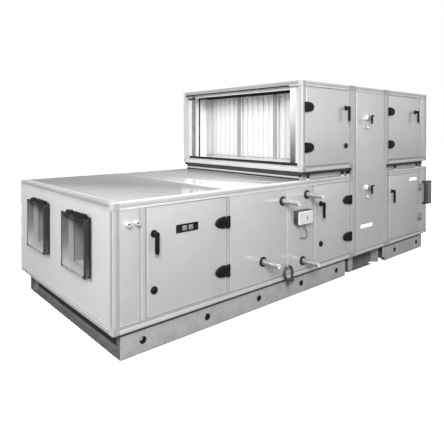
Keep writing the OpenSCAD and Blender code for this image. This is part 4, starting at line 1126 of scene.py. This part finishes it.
# black strips on the top edge of the rails' front and back webs: painted shadow line under the casing
for a, b in ((84, 2786), (3616, 4626)):
    rbox(mb, a, b, 39.0, 41.5, -30.5, -25.0, RUBBER, 0.6, 1)
    rbox(mb, a, b, W - 41.5, W - 39.0, -30.5, -25.0, RUBBER, 0.6, 1)
mb.obj("base_packing", "casing", "base_packers")

# ---------------------------------------------------------------------------
# between the decks
# ---------------------------------------------------------------------------

mb = MB()


for y0, y1 in ((14, 54), (W - 54, W - 14)):
    for x0, x1 in ((XE + 16, 2868), (3640, 4572)):
        prism(mb, "x", rrect_at((y0 + y1) / 2, Z2 - 14, 20, 14, 3), x0, x1, DKSTEEL, 1.0)
for x0, x1 in ((XE + 16, XE + 56), (4634, 4674)):
    prism(mb, "y", rrect_at((x0 + x1) / 2, Z2 - 22, 20, 22, 3), 55, W - 55, DKSTEEL, 1.0)
mb.obj("stack_rail_profiles", "casing", "stack_rails")

mb = MB()
for x in (2126, 2721, 3874, 4459):
    for y in (16, W - 44):
        cy = y + 14
        rbox(mb, x - 13, x + 13, y + 1, y + 27, Z1 + 0.1, Z1 + 12, CURB_LIT, 1.5)
        revolve(mb, "z", x, cy, [(0, Z1 + 12), (13, Z1 + 12), (14, Z1 + 13.5), (14, Z1 + 19), (12.4, Z1 + 22), (12.4, Z1 + 34), (14, Z1 + 37), (14, Z1 + 43), (13, Z1 + 44.5), (0, Z1 + 44.5)], RUBBER, 32)
        rbox(mb, x - 14, x + 14, y, y + 28, Z1 + 44, Z1 + 51.8, BLACK, 1.2)
for y in (16, W - 44):
    rbox(mb, 2811, 2829, y + 1, y + 27, Z1 + 0.1, Z1 + 12, CURB_LIT, 1.5)
    rbox(mb, 2810, 2830, y, y + 28, Z1 + 12, Z2 - 28.2, BLACK, 2)
    prism(mb, "y", [(2812, Z2 - 55.8), (2832, Z2 - 55.8), (2860, Z2 - 38), (2862, Z2 - 35), (2862, Z2 - 29.2), (2812, Z2 - 29.2)], y + 0.3, y + 27.7, BLACK, 0.8)
    hexbolt(mb, "y", 2846, Z2 - 38, y + 6.6 if y < 900 else y + 21.4, -1 if y < 900 else 1, 4.5, 6)
mb.obj("stack_mounts", "casing", "stack_feet")

mb = MB()
for yo, s in ((80, 1), (W - 80, -1)):
    for x0, x1 in ((XE + 58, 2870), (3640, 4632)):
        # front and back curbs in the lighter copy: painted light
        prism(mb, "x", channel(yo, 30, Z1, Z2, 2.5, 5, s), x0, x1, CURB_LIT, ch=0)
# end curbs in the darker copy: painted shade
prism(mb, "y", channel(XE + 18, 30, Z1, Z2 - 45, 2.5, 5, 1), 60, W - 60, END_CURB_SHADED, ch=0)
prism(mb, "y", channel(4672, 30, Z1, Z2 - 45, 2.5, 5, -1), 60, W - 60, END_CURB_SHADED, ch=0)
mb.obj("stack_curb_sheets", "casing", "stack_curbs")
# black strip along the foot of the end curbs: a painted shadow line
mb = MB()
rbox(mb, XE + 15.5, XE + 18.4, 62, W - 62, Z1 + 0.2, Z1 + 17, RUBBER, 1.2)
rbox(mb, 4671.6, 4674.5, 62, W - 62, Z1 + 0.2, Z1 + 17, RUBBER, 1.2)
mb.obj("curb_foot_shadow_strips", "casing", ())

# ---------------------------------------------------------------------------
# air path: outlets, fans, coils, filters
# ---------------------------------------------------------------------------


def mirror_end(p, right):
    return (XC1 - p[0], p[1], p[2] + Z2) if right else p


def outlet(mb, y, right):
    start = len(mb.v)
    z = FANZ
    hw, hh = 220, 217.5
    u0, u1, v0, v1 = y - hw, y + hw, z - hh, z + hh
    # outer flange: four angle bars with corner pieces, the bottom bar in a lighter copy of the steel as painted light
    ring(mb, "left", 0, u0, u1, v0, v1, [(0, 40.5), (0, 48), (1.5, 49.4), (20, 49.4), (21.6, 48), (21.6, 41), (20.5, 40.5)], DKSTEEL, four=(FLANGE_LOW_LIT, DKSTEEL, DKSTEEL, DKSTEEL))
    # bright inner lining from the flange back to the casing; its sill is a lighter copy as painted light, its sides and
    # top grow darker upwards as painted shade
    ring(mb, "left", 0, u0 + 20.4, u1 - 20.4, v0 + 20.4, v1 - 20.4, [(0.2, -2), (0.2, 48.4), (1.4, 48.4), (1.4, -2)], LINER, four=(LINER_SILL_LIT, LINER_SIDE_SHADED, LINER_SIDE_SHADED, LINER_SIDE_SHADED))
    # flexible connection: folded canvas between the flanges, darkening from grey at the foot to black at the head as
    # painted shade
    sec = [(18, 40.6)]
    for h, i in ((38, 17), (34, 11), (28, 7.5), (21, 6.5), (14, 8.0), (7, 12), (1.5, 16)):
        sec.append((i, h))
    sec += [(18.5, 1.5), (19.5, 20), (19.5, 40)]
    ring(mb, "left", 0, u0, u1, v0, v1, sec, CANVAS_SHADED, rad=22, seg=4)
    # inner flange on the casing
    ring(mb, "left", 0, u0, u1, v0, v1, [(0, -1.5), (0, 6.5), (1.5, 8), (20, 8), (20.3, 6.5), (20.3, -1.5)], DKSTEEL)
    # throat lining
    ring(mb, "left", 0, u0 + 18, u1 - 18, v0 + 18, v1 - 18, [(0.6, -46), (0.6, -2.2), (3.9, -2.2), (3.9, -46)], LINER)
    for su in (-1, 1):
        for sv in (-1, 1):
            # corner gusset with its bolt hole
            pts = [(0.6, 0.6), (40, 0.6), (40, 19), (20.4, 20.2), (19, 40), (0.6, 40)]
            poly = [(y + su * (hw - a), z + sv * (hh - b)) for a, b in pts]
            mb.lofts([[(-49.3, a, b) for a, b in poly], [(-49.75, a, b) for a, b in poly]], DKSTEEL)
            bu, bv = y + su * (hw - 9), z + sv * (hh - 9)
            revolve(mb, "x", bu, bv, [(4.5, -49.7), (7.5, -49.7), (7.8, -49.9), (4.5, -49.95)], BLACK2, 24, closed=True)
            revolve(mb, "x", bu, bv, [(0, -49.7), (4.6, -49.7), (4.6, -49.85), (0, -49.85)], RUBBER, 20)
    # flat rivets along the sides
    for du, dv in ((-1, -0.5), (-1, 0), (-1, 0.5), (1, -0.5), (1, 0), (1, 0.5), (-0.5, -1), (0, -1), (0.5, -1)):
        a = y + du * (hw - 11) if abs(du) == 1 else y + du * hw
        b = z + dv * (hh - 11) if abs(dv) == 1 else z + dv * hh
        revolve(mb, "x", a, b, [(5.2, -49.3), (5.2, -49.7), (4.2, -50), (0, -50)], DKSTEEL, 20)
    # black lashing clips over the top edge
    for c0, c1, hgt in ((38, 84, 24), (90, 130, 20), (-92, -10, 24), (-198, -100, 25)):
        a, b = y + c0, y + c1
        prof = [(-49.9, v1 - 14), (-47.5, v1 - 14), (-46.5, v1 + 0.6), (-22, v1 + 0.6), (-20, v1 - 6), (-17, v1 - 6), (-16, v1 + 4), (-19, v1 + hgt - 5), (-25, v1 + hgt), (-40, v1 + hgt), (-46, v1 + hgt - 4), (-49.9, v1 + 8)]
        prism(mb, "y", prof, a, b, BLACK, 1.2)
        n = max(2, int((b - a) / 22))
        for q in range(n):
            m0 = a + (b - a) * (q + 0.5) / n
            rbox(mb, -42, -24, m0 - 4, m0 + 4, v1 + hgt - 1, v1 + hgt + 2.2, BLACK2, 1.0, 1)
    for k in range(start, len(mb.v)):
        mb.v[k] = mirror_end(mb.v[k], right)


mb = MB()
for y in FANY:
    outlet(mb, y, False)
    outlet(mb, y, True)
outs = mb.obj("outlet_frames", "casing", "fan_outlets")


def fan(mb, y, right):
    start = len(mb.v)
    hw, t = 198, 5
    zb, zt = FANZ - 195.5, FANZ + 195.5
    sx, sz, sr = 470, 430, 322
    # throat plates with folded rims: sides and top in a darker copy of the sheet as painted shade, the sill in the
    # lighter sill copy as painted light
    ring(mb, "left", 0, y - hw, y + hw, zb, zt, [(0.2, -50), (3.0, -50), (3.0, -249), (0.2, -249)], THROAT_SHADED, four=(LINER_SILL_LIT, THROAT_SHADED, THROAT_SHADED, THROAT_SHADED))
    # scroll wrapper: flat top into the throat, spiral round the wheel, cut-off lip; its near-black sheet is painted
    # shade inside the housing
    prof = [(250, zt - 0.5)]
    prof += [(360, zt - 0.5), (430, 742)]
    for i in range(0, 26):
        a = math.radians(84 - i * 10.6)
        r = sr - 0.4 - 12 * i / 25
        prof.append((sx + r * C(a), sz + r * S(a)))
    prof += [(250.5, zb + 1)]
    inner = offset(prof, 2.5)
    n = len(prof)
    for a in range(n - 1):
        q = [prof[a], prof[a + 1], inner[a + 1], inner[a]]
        mb.add([(u, yy, v) for yy in (y - hw + 1, y + hw - 1) for u, v in q], [(0, 1, 5, 4), (1, 2, 6, 5), (2, 3, 7, 6), (3, 0, 4, 7), (3, 2, 1, 0), (4, 5, 6, 7)], SCROLL_SHADED)
    # side plates with a round inlet, bell mouth, wheel
    for s in (-1, 1):
        yo = y + s * hw
        m = 48
        ri = 205
        loop_o, loop_i = [], []
        for i in range(m):
            a = 2 * PI * i / m
            c, q = C(a), S(a)
            # outline of the plate seen from the side
            best = ri + 20
            for rr in range(ri + 20, 460, 4):
                u, v = sx + rr * c, sz + rr * q
                inside = (250 < u and ((u - sx) ** 2 + (v - sz) ** 2 < (sr - 3) ** 2 or (u < sx and zb + 1 < v < zt - 1)))
                if not inside:
                    break
                best = rr
            loop_o.append((sx + best * c, sz + best * q))
            loop_i.append((sx + ri * c, sz + ri * q))
        mb.lofts([[(u, yo - s * 3.0, v) for u, v in loop_i], [(u, yo - s * 3.0, v) for u, v in loop_o], [(u, yo - s * 0.6, v) for u, v in loop_o], [(u, yo - s * 0.6, v) for u, v in loop_i]], GALV, closed=True)
        revolve(mb, "y", sx, sz, [(ri + 8, yo - s * 0.6), (ri + 7, yo - s * 0.1), (ri - 2, yo - s * 2), (ri - 12, yo - s * 12), (ri - 18, yo - s * 26), (ri - 20, yo - s * 42), (ri - 22, yo - s * 42), (ri - 20, yo - s * 24), (ri - 12, yo - s * 9), (ri - 2, yo - s * 3.2)], GALVDK, 48, closed=True)
        # bearing arms across the inlet
        for a in (30, 150, 270):
            a = math.radians(a)
            p0, p1 = (sx + 26 * C(a), yo - s * 14, sz + 26 * S(a)), (sx + (ri - 4) * C(a), yo - s * 8, sz + (ri - 4) * S(a))
            tube(mb, [p0, p1], 6, DKSTEEL, 10)
        revolve(mb, "y", sx, sz, [(0, yo - s * 2), (16, yo - s * 2), (28, yo - s * 6), (30, yo - s * 26), (12, yo - s * 30), (0, yo - s * 30)], DKSTEEL, 32)
    # wheel: rings, back plate and forward-curved blades
    revolve(mb, "y", sx, sz, [(12, y - hw + 20), (12, y + hw - 20)], ZINC, 24)
    for yy in (y - hw + 36, y + hw - 40):
        revolve(mb, "y", sx, sz, [(196, yy), (226, yy), (226, yy + 4), (196, yy + 4)], GALVDK, 64, closed=True)
    revolve(mb, "y", sx, sz, [(0, y - 2), (226, y - 2), (226, y + 2), (0, y + 2)], GALVDK, 64)
    for i in range(36):
        a = 2 * PI * i / 36
        sec = []
        for k in range(5):
            tt = k / 4
            rr = 197 + 28 * tt
            aa = a + 0.10 * tt * tt
            sec.append((sx + rr * C(aa), sz + rr * S(aa)))
        for k in range(4):
            (a0, b0), (a1, b1) = sec[k], sec[k + 1]
            nx, nz = -(b1 - b0), a1 - a0
            L = math.hypot(nx, nz)
            nx, nz = nx / L * 0.6, nz / L * 0.6
            q = [(a0 - nx, b0 - nz), (a1 - nx, b1 - nz), (a1 + nx, b1 + nz), (a0 + nx, b0 + nz)]
            mb.add([(u, yy, v) for yy in (y - hw + 38, y + hw - 38) for u, v in q], [(0, 1, 5, 4), (1, 2, 6, 5), (2, 3, 7, 6), (3, 0, 4, 7), (3, 2, 1, 0), (4, 5, 6, 7)], GALVDK)
    for k in range(start, len(mb.v)):
        mb.v[k] = mirror_end(mb.v[k], right)


mb = MB()
for y in FANY:
    fan(mb, y, False)
    fan(mb, y, True)
mb.obj("fan_scrolls", "casing", "fan_housings")

# coils: flanged casing, fins, header tubes and return bends
mb = MB()
for x0, x1, rows in ((1180, 1500, 6), (1860, 2010, 3)):
    y0, y1, z0, z1 = PD + 4, W - PD - 4, 52, 844
    for zz in ((z0, z0 + 2.5), (z1 - 2.5, z1)):
        rbox(mb, x0, x1, y0, y1, zz[0], zz[1], GALV, 0.6, 1)
    for ya, yb in ((y0, y0 + 3), (y1 - 3, y1)):
        rbox(mb, x0, x1, ya, yb, z0 + 3, z1 - 3, GALV, 0.8, 1)
    for xf in (x0, x1 - 3):
        for zz in ((z0 + 3, z0 + 40), (z1 - 40, z1 - 3)):
            rbox(mb, xf, xf + 3, y0 + 4, y1 - 4, zz[0], zz[1], GALV, 0.8, 1)
        for ya, yb in ((y0 + 4, y0 + 60), (y1 - 60, y1 - 4)):
            rbox(mb, xf, xf + 3, ya, yb, z0 + 41, z1 - 41, GALV, 0.8, 1)
    rbox(mb, x0 + 30, x1 - 30, y0 + 60, y1 - 60, z0 + 20, z1 - 20, GALVDK, 1, 1)
    nf = 330
    for i in range(nf):
        yy = y0 + 62 + (y1 - y0 - 124) * i / (nf - 1)
        v = [(x, y, z) for x in (x0 + 8, x1 - 8) for y in (yy - 0.35, yy + 0.35) for z in (z0 + 30, z1 - 30)]
        mb.add(v, [(0, 1, 3, 2), (4, 6, 7, 5), (0, 4, 5, 1), (2, 3, 7, 6), (0, 2, 6, 4), (1, 5, 7, 3)], FIN)
    for r in range(rows):
        xr = x0 + (x1 - x0) * (r + 0.5) / rows
        for k in range(0, 11):
            zc = z0 + 70 + k * 64
            tube(mb, [(xr, y0 + 60, zc), (xr, y0 + 24, zc), (xr, y0 + 14, zc + 4), (xr, y0 + 8, zc + 14), (xr, y0 + 14, zc + 24), (xr, y0 + 24, zc + 28), (xr, y0 + 60, zc + 28)], 7, COPPER, 8, caps=False)
mb.obj("coil_blocks", "casing", "coils")

CELLS, CW, CH, FIN_X, PL = (372, 964, 1556), 530, 736, 346, 300


def wall(mb, right):
    start = len(mb.v)
    z0, z1, y0, y1 = RH + 2, 900 - RH - 2, PD + 2, W - PD - 2
    zc0, zc1 = (900 - CH) / 2, (900 + CH) / 2
    ys = [y0] + [v for c in CELLS for v in (c - CW / 2, c + CW / 2)] + [y1]
    for i in range(0, 8, 2):
        # uprights, folded at both edges
        a, b = ys[i], ys[i + 1]
        prof = [(FIN_X + 3, a), (FIN_X, a + 2), (FIN_X, b - 2), (FIN_X + 3, b), (FIN_X + 25, b), (FIN_X + 25, a)]
        prism(mb, "z", prof, zc0, zc1, MULL if 0 < i < 6 else INNERW, 0)
    # upper bar in black: partly its seal and partly painted shade above the filters
    for a, b, mm in ((z0, zc0, PALE), (zc1, z1, RUBBER)):
        prof = [(FIN_X + 3, a), (FIN_X, a + 2), (FIN_X, b - 2), (FIN_X + 3, b), (FIN_X + 25, b), (FIN_X + 25, a)]
        prism(mb, "y", prof, y0, y1, mm, 0)
    # thin grey edge over the lower frame
    rbox(mb, FIN_X - 1.2, FIN_X + 1.6, y0 + 1, y1 - 1, zc0 + 6, zc0 + 17, MULL, 0.6, 1)
    for c in CELLS:
        # header frame of the cell with spring clamps
        ring(mb, "left", FIN_X + 4, c - CW / 2, c + CW / 2, zc0, zc1, [(0.5, -20), (0.5, 0), (2.0, 1.5), (11, 1.5), (12.5, 0), (12.5, -20)], INNERW)
        for sv in (-1, 1):
            for du in (-150, 150):
                zc = 450 + sv * (CH / 2 - 6)
                rbox(mb, FIN_X - 1.5, FIN_X + 3, c + du - 7, c + du + 7, zc - 9, zc + 9, INNERW, 1.0)
    for k in range(start, len(mb.v)):
        p = mb.v[k]
        mb.v[k] = (XC1 - p[0], p[1], p[2]) if right else (XE + p[0], p[1], p[2] + Z2)


mb = MB()
wall(mb, False)
wall(mb, True)
mb.obj("filter_wall", "casing", "filter_frames")


def pocket_grid(seed, w, h, dep, nu=13, nv=34, nd=16):
    """One sewn pocket: mouth at d = 0, closed seam at d = dep, cheeks bellied between
    the spacer threads. Returns loops along the depth."""
    loops = []
    for i in range(nd + 1):
        t = i / nd
        hw = (w / 2) * (1 - 0.86 * t ** 1.25) + 7.0 * S(PI * min(1, t * 1.05)) ** 1.2
        hh = h / 2 - 4 * t - 10 * t ** 4
        lp = []
        prof = rrect(max(hw, 2.2), hh, min(max(hw * 0.9, 1.6), 26), 4)
        # refine the straight sides so that wrinkles show
        pts = []
        m = len(prof)
        for k in range(m):
            a, b = prof[k], prof[(k + 1) % m]
            L = math.hypot(b[0] - a[0], b[1] - a[1])
            q = max(1, int(round(L / 24)))
            if L < 60:
                q = 1
            else:
                q = 28 if abs(b[1] - a[1]) > abs(b[0] - a[0]) else 3
            for j in range(q):
                pts.append((a[0] + (b[0] - a[0]) * j / q, a[1] + (b[1] - a[1]) * j / q))
        for u, v in pts:
            n1 = noise.noise(Vector((u * 0.02 + seed * 7.1, v * 0.011, t * 2.6)))
            n2 = noise.noise(Vector((u * 0.05 + seed * 3.3, v * 0.035, t * 5.5)))
            quilt = 0.5 - 0.5 * C(2 * PI * (v / 118.0 + 0.5)) * C(2 * PI * t * 2.5)
            k = S(PI * min(1.0, t * 1.02))
            du = (2.6 * n1 + 1.1 * n2 + 2.2 * (quilt - 0.5)) * k
            sgn = 1 if u > 0 else -1
            lp.append((t * dep + 0.8 * n2 * k, u + sgn * du, v + 1.5 * n1 * k))
        loops.append(lp)
    return loops


def filter_cell(name, right, c, seed):
    mb = MB()
    zc0, zc1 = (900 - CH) / 2 + 4, (900 + CH) / 2 - 4
    y0, y1 = c - CW / 2 + 5, c + CW / 2 - 5
    x0 = FIN_X + 27.5
    npk = 6
    pw = (y1 - y0) / npk
    for k in range(npk):
        yc = y0 + pw * (k + 0.5)
        loops = pocket_grid(seed * 11 + k, pw - 3, zc1 - zc0 - 2, PL - 3)
        mb.lofts([[(x0 + 2 + d, yc + u, 450 + v) for d, u, v in lp] for lp in loops], MEDIA, cap0=False, cap1=True)
    # mouth: soft front of the pad, drawn in along the pockets' seams
    nu, nv = 66, 30
    o = len(mb.v)
    for j in range(nv + 1):
        for i in range(nu + 1):
            u, v = i / nu, j / nv
            ph = u * npk
            fold = 0.5 - 0.5 * C(2 * PI * ph)
            edge = min(1.0, min(u, 1 - u) / 0.03, min(v, 1 - v) / 0.03)
            n1 = noise.noise(Vector((u * 6.3 + seed * 5.7, v * 2.2, seed * 1.3)))
            n2 = noise.noise(Vector((u * 19 + seed * 2.9, v * 6.0, 4.2)))
            depth = 10 - 5.5 * fold * edge + (2.2 * n1 + 0.9 * n2) * edge
            mb.v.append((x0 + max(0.6, depth), y0 + (y1 - y0) * u, zc0 + (zc1 - zc0) * v))
    k0 = mb.mat(MEDIA)
    for j in range(nv):
        for i in range(nu):
            a = o + j * (nu + 1) + i
            mb.f.append((a, a + 1, a + nu + 2, a + nu + 1))
            mb.mi.append(k0)
    # back of the pad so that it is closed
    bo = len(mb.v)
    rim = [(0, 0), (nu, 0), (nu, nv), (0, nv)]
    loop = [o + i for i in range(nu + 1)] + [o + j * (nu + 1) + nu for j in range(1, nv + 1)] + [o + nv * (nu + 1) + i for i in range(nu - 1, -1, -1)] + [o + j * (nu + 1) for j in range(nv - 1, 0, -1)]
    for q in loop:
        p = mb.v[q]
        mb.v.append((x0 + 20, p[1], p[2]))
    m = len(loop)
    for i in range(m):
        j = (i + 1) % m
        mb.f.append((loop[i], loop[j], bo + j, bo + i))
        mb.mi.append(k0)
    mb.f.append(tuple(bo + i for i in range(m)))
    mb.mi.append(k0)
    for k in range(len(mb.v)):
        p = mb.v[k]
        mb.v[k] = (XC1 - p[0], p[1], p[2]) if right else (XE + p[0], p[1], p[2] + Z2)
    ob = mb.obj(name, "casing", "filter_pockets", angle=70)
    return ob


for right in (False, True):
    for i, c in enumerate(CELLS):
        filter_cell(f"bag_filter_{'intake' if right else 'inlet'}_{i + 1}", right, c, i + 1 + (10 if right else 0))

# jamb plates of the open ends with their slide strips, and the bars between them
mb = MB()
trim = MB()
for right in (False, True):
    start, t0 = len(mb.v), len(trim.v)
    for a, b, s in ((PD + 1, PD + 143, 1), (W - PD - 143, W - PD - 1, -1)):
        e = b if s > 0 else a
        prof = [(46, a), (49.6, a), (49.6, b), (46, b)]
        prism(mb, "z", prof, RH + 1, 900 - RH - 1, PALE, 0.6)
        i0, i1 = sorted((e - s * 71, e - s * 1))
        # the near slide strip runs dark at the foot to light at the head: painted shade
        prism(mb, "z", [(44.9, i0), (45.9, i0), (45.9, i1), (44.9, i1)], RH + 2, 900 - RH - 2, SLIDE_SHADED if s > 0 else SLIDE, 0.3)
    for z in (RH + 13, 900 - RH - 29):
        prism(mb, "y", [(46, z), (49.6, z), (49.6, z + 16), (46, z + 16)], PD + 144.5, W - PD - 144.5, PALE, 0.6)
    # black strips, partly seals and partly painted shadow lines: sill, lower edge of the head rail, header in front of
    # the filters
    for xa, xb, ya, yb, za, zb in ((43.2, 45.8, 100, 1868, RH + 0.8, 84.5), (1.0, 3.7, 172, W - PD - 2, 900 - RH + 0.2, 900 - RH + 14.5), (222, 232, 51, W - 51, 815, 900 - RH - 1.6)):
        rbox(trim, xa, xb, ya, yb, za, zb, SHADOW_BLACK, 1.0, 1)
    # dark band over the far jamb level with the header: painted shadow
    rbox(trim, 43.2, 45.8, W - PD - 142, W - PD - 2, 797, 824, DKSTEEL, 1.0, 1)
    # the gap between the head bar and the rail is closed in the frame's colour
    rbox(trim, 46.2, 49.4, PD + 145, W - PD - 145, 832, 900 - RH - 0.6, PALE, 0.6, 1)
    # white lining of the side walls, with a black seam; the lining is a lighter copy of the inner paint, painted light
    # against the shade inside
    for ya, yb, s in ((48.2, 50.2, 1), (W - 50.2, W - 48.2, -1)):
        rbox(trim, 54, 344, ya, yb, RH + 2, 900 - RH - 2, LINING_LIT, 0.5, 1)
        ys = sorted((50.0, 51.4)) if s > 0 else sorted((W - 50.0, W - 51.4))
        rbox(trim, 213, 236, ys[0], ys[1], RH + 2.5, 900 - RH - 2.5, RUBBER, 0.5, 1)
    for m, k0 in ((mb, start), (trim, t0)):
        for k in range(k0, len(m.v)):
            p = m.v[k]
            m.v[k] = (XC1 - p[0], p[1], p[2]) if right else (XE + p[0], p[1], p[2] + Z2)
mb.obj("inlet_jamb_plates", "casing", "inlet_jambs")
trim.obj("inlet_lining", "casing", ())

# ---------------------------------------------------------------------------
# floor, light, camera
# ---------------------------------------------------------------------------

me = bpy.data.meshes.new("floor")
me.from_pydata([(-40, -40, 0), (40, -40, 0), (40, 40, 0), (-40, 40, 0)], [], [(0, 1, 2, 3)])
floor = bpy.data.objects.new("floor", me)
bpy.context.scene.collection.objects.link(floor)
FLOOR = surface("pale_floor", 0.88, 0.91, (0.55, 0.65), patch=0.6, fine=60, bump=0.01)
fb = FLOOR.node_tree.nodes["Principled BSDF"]
fb.inputs["Emission Color"].default_value = (1, 1, 1, 1)
fb.inputs["Emission Strength"].default_value = 0.72
me.materials.append(FLOOR)
floor.visible_diffuse = False
floor.visible_glossy = False

scene = bpy.context.scene
world = bpy.data.worlds.new("studio")
scene.world = world
world.use_nodes = True
nt = world.node_tree
nt.nodes.clear()
out = nt.nodes.new("ShaderNodeOutputWorld")
mix = nt.nodes.new("ShaderNodeMixShader")
lp = nt.nodes.new("ShaderNodeLightPath")
bg = nt.nodes.new("ShaderNodeBackground")
seen = nt.nodes.new("ShaderNodeBackground")
seen.inputs["Color"].default_value = (1, 1, 1, 1)
seen.inputs["Strength"].default_value = 1.0
tc = nt.nodes.new("ShaderNodeTexCoord")
sep = nt.nodes.new("ShaderNodeSeparateXYZ")
nt.links.new(tc.outputs["Generated"], sep.inputs[0])
up = _range(nt, sep.outputs["Z"], 0.0, 1.0, -1.0, 1.0)
sky = _ramp(nt, up, [(0.0, 0.22), (0.38, 0.27), (0.46, 0.36), (0.50, 0.62), (0.56, 0.80), (0.70, 0.75), (1.0, 1.0)])
side = _range(nt, sep.outputs["Y"], 1.0, 0.50, -0.35, 0.45)
mul = nt.nodes.new("ShaderNodeVectorMath")
mul.operation = "SCALE"
nt.links.new(sky, mul.inputs[0])
nt.links.new(side, mul.inputs["Scale"])
# a darker flag low behind the unit, as the top's soft reflection shows it
dot = nt.nodes.new("ShaderNodeVectorMath")
dot.operation = "DOT_PRODUCT"
dot.inputs[1].default_value = (0.560, 0.812, 0.165)
nt.links.new(tc.outputs["Generated"], dot.inputs[0])
flag = nt.nodes.new("ShaderNodeVectorMath")
flag.operation = "SCALE"
nt.links.new(mul.outputs[0], flag.inputs[0])
nt.links.new(_range(nt, dot.outputs["Value"], 1.0, 0.70, 0.84, 0.96), flag.inputs["Scale"])
nt.links.new(flag.outputs[0], bg.inputs["Color"])
bg.inputs["Strength"].default_value = 0.9
nt.links.new(lp.outputs["Is Camera Ray"], mix.inputs[0])
nt.links.new(bg.outputs[0], mix.inputs[1])
nt.links.new(seen.outputs[0], mix.inputs[2])
nt.links.new(mix.outputs[0], out.inputs[0])


def area(name, loc, target, size, energy, size_y=None):
    l = bpy.data.lights.new(name, "AREA")
    l.energy = energy
    l.shape = "RECTANGLE"
    l.size, l.size_y = size, size_y or size
    o = bpy.data.objects.new(name, l)
    o.location = loc
    o.rotation_euler = (Vector(target) - Vector(loc)).to_track_quat("-Z", "Y").to_euler()
    scene.collection.objects.link(o)
    return o


area("key", (-5.4, -5.6, 4.4), (-0.6, -0.8, 1.1), 2.9, 710, 2.4)
left = area("left_fill", (-6.5, 0.4, 3.0), (-1.0, 0.2, 1.2), 3.0, 325, 2.2)
left.visible_glossy = False
area("top_soft", (0.2, 0.1, 6.6), (0.2, 0.2, 1.0), 6.0, 520, 3.6)
back = area("back_fill", (0.3, 6.6, 1.25), (0.2, 0.9, 1.0), 4.6, 300, 1.6)
right = area("right_fill", (7.6, -0.2, 1.25), (2.3, 0.0, 1.0), 2.6, 120, 1.6)
for ob in (back, right):
    ob.visible_camera = False
    ob.visible_glossy = False
deck = area("deck_soft", P(1380, 960, 2700), P(1450, 960, 900), 1.9, 12, 0.5)
deck.data.spread = math.radians(52)
deck.visible_camera = False

cam = bpy.data.cameras.new("camera")
cam_o = bpy.data.objects.new("camera", cam)
scene.collection.objects.link(cam_o)
cam_o.location = (-3.7202, -3.5487, 1.5804)
cam_o.rotation_euler = (math.radians(90 - 0.323), 0, math.radians(-41.275))
cam.sensor_width = 36
cam.lens = 35.607
cam.shift_x = -0.0007
cam.shift_y = -0.1988
scene.camera = cam_o
scene.view_settings.view_transform = "Standard"
scene.view_settings.look = "None"
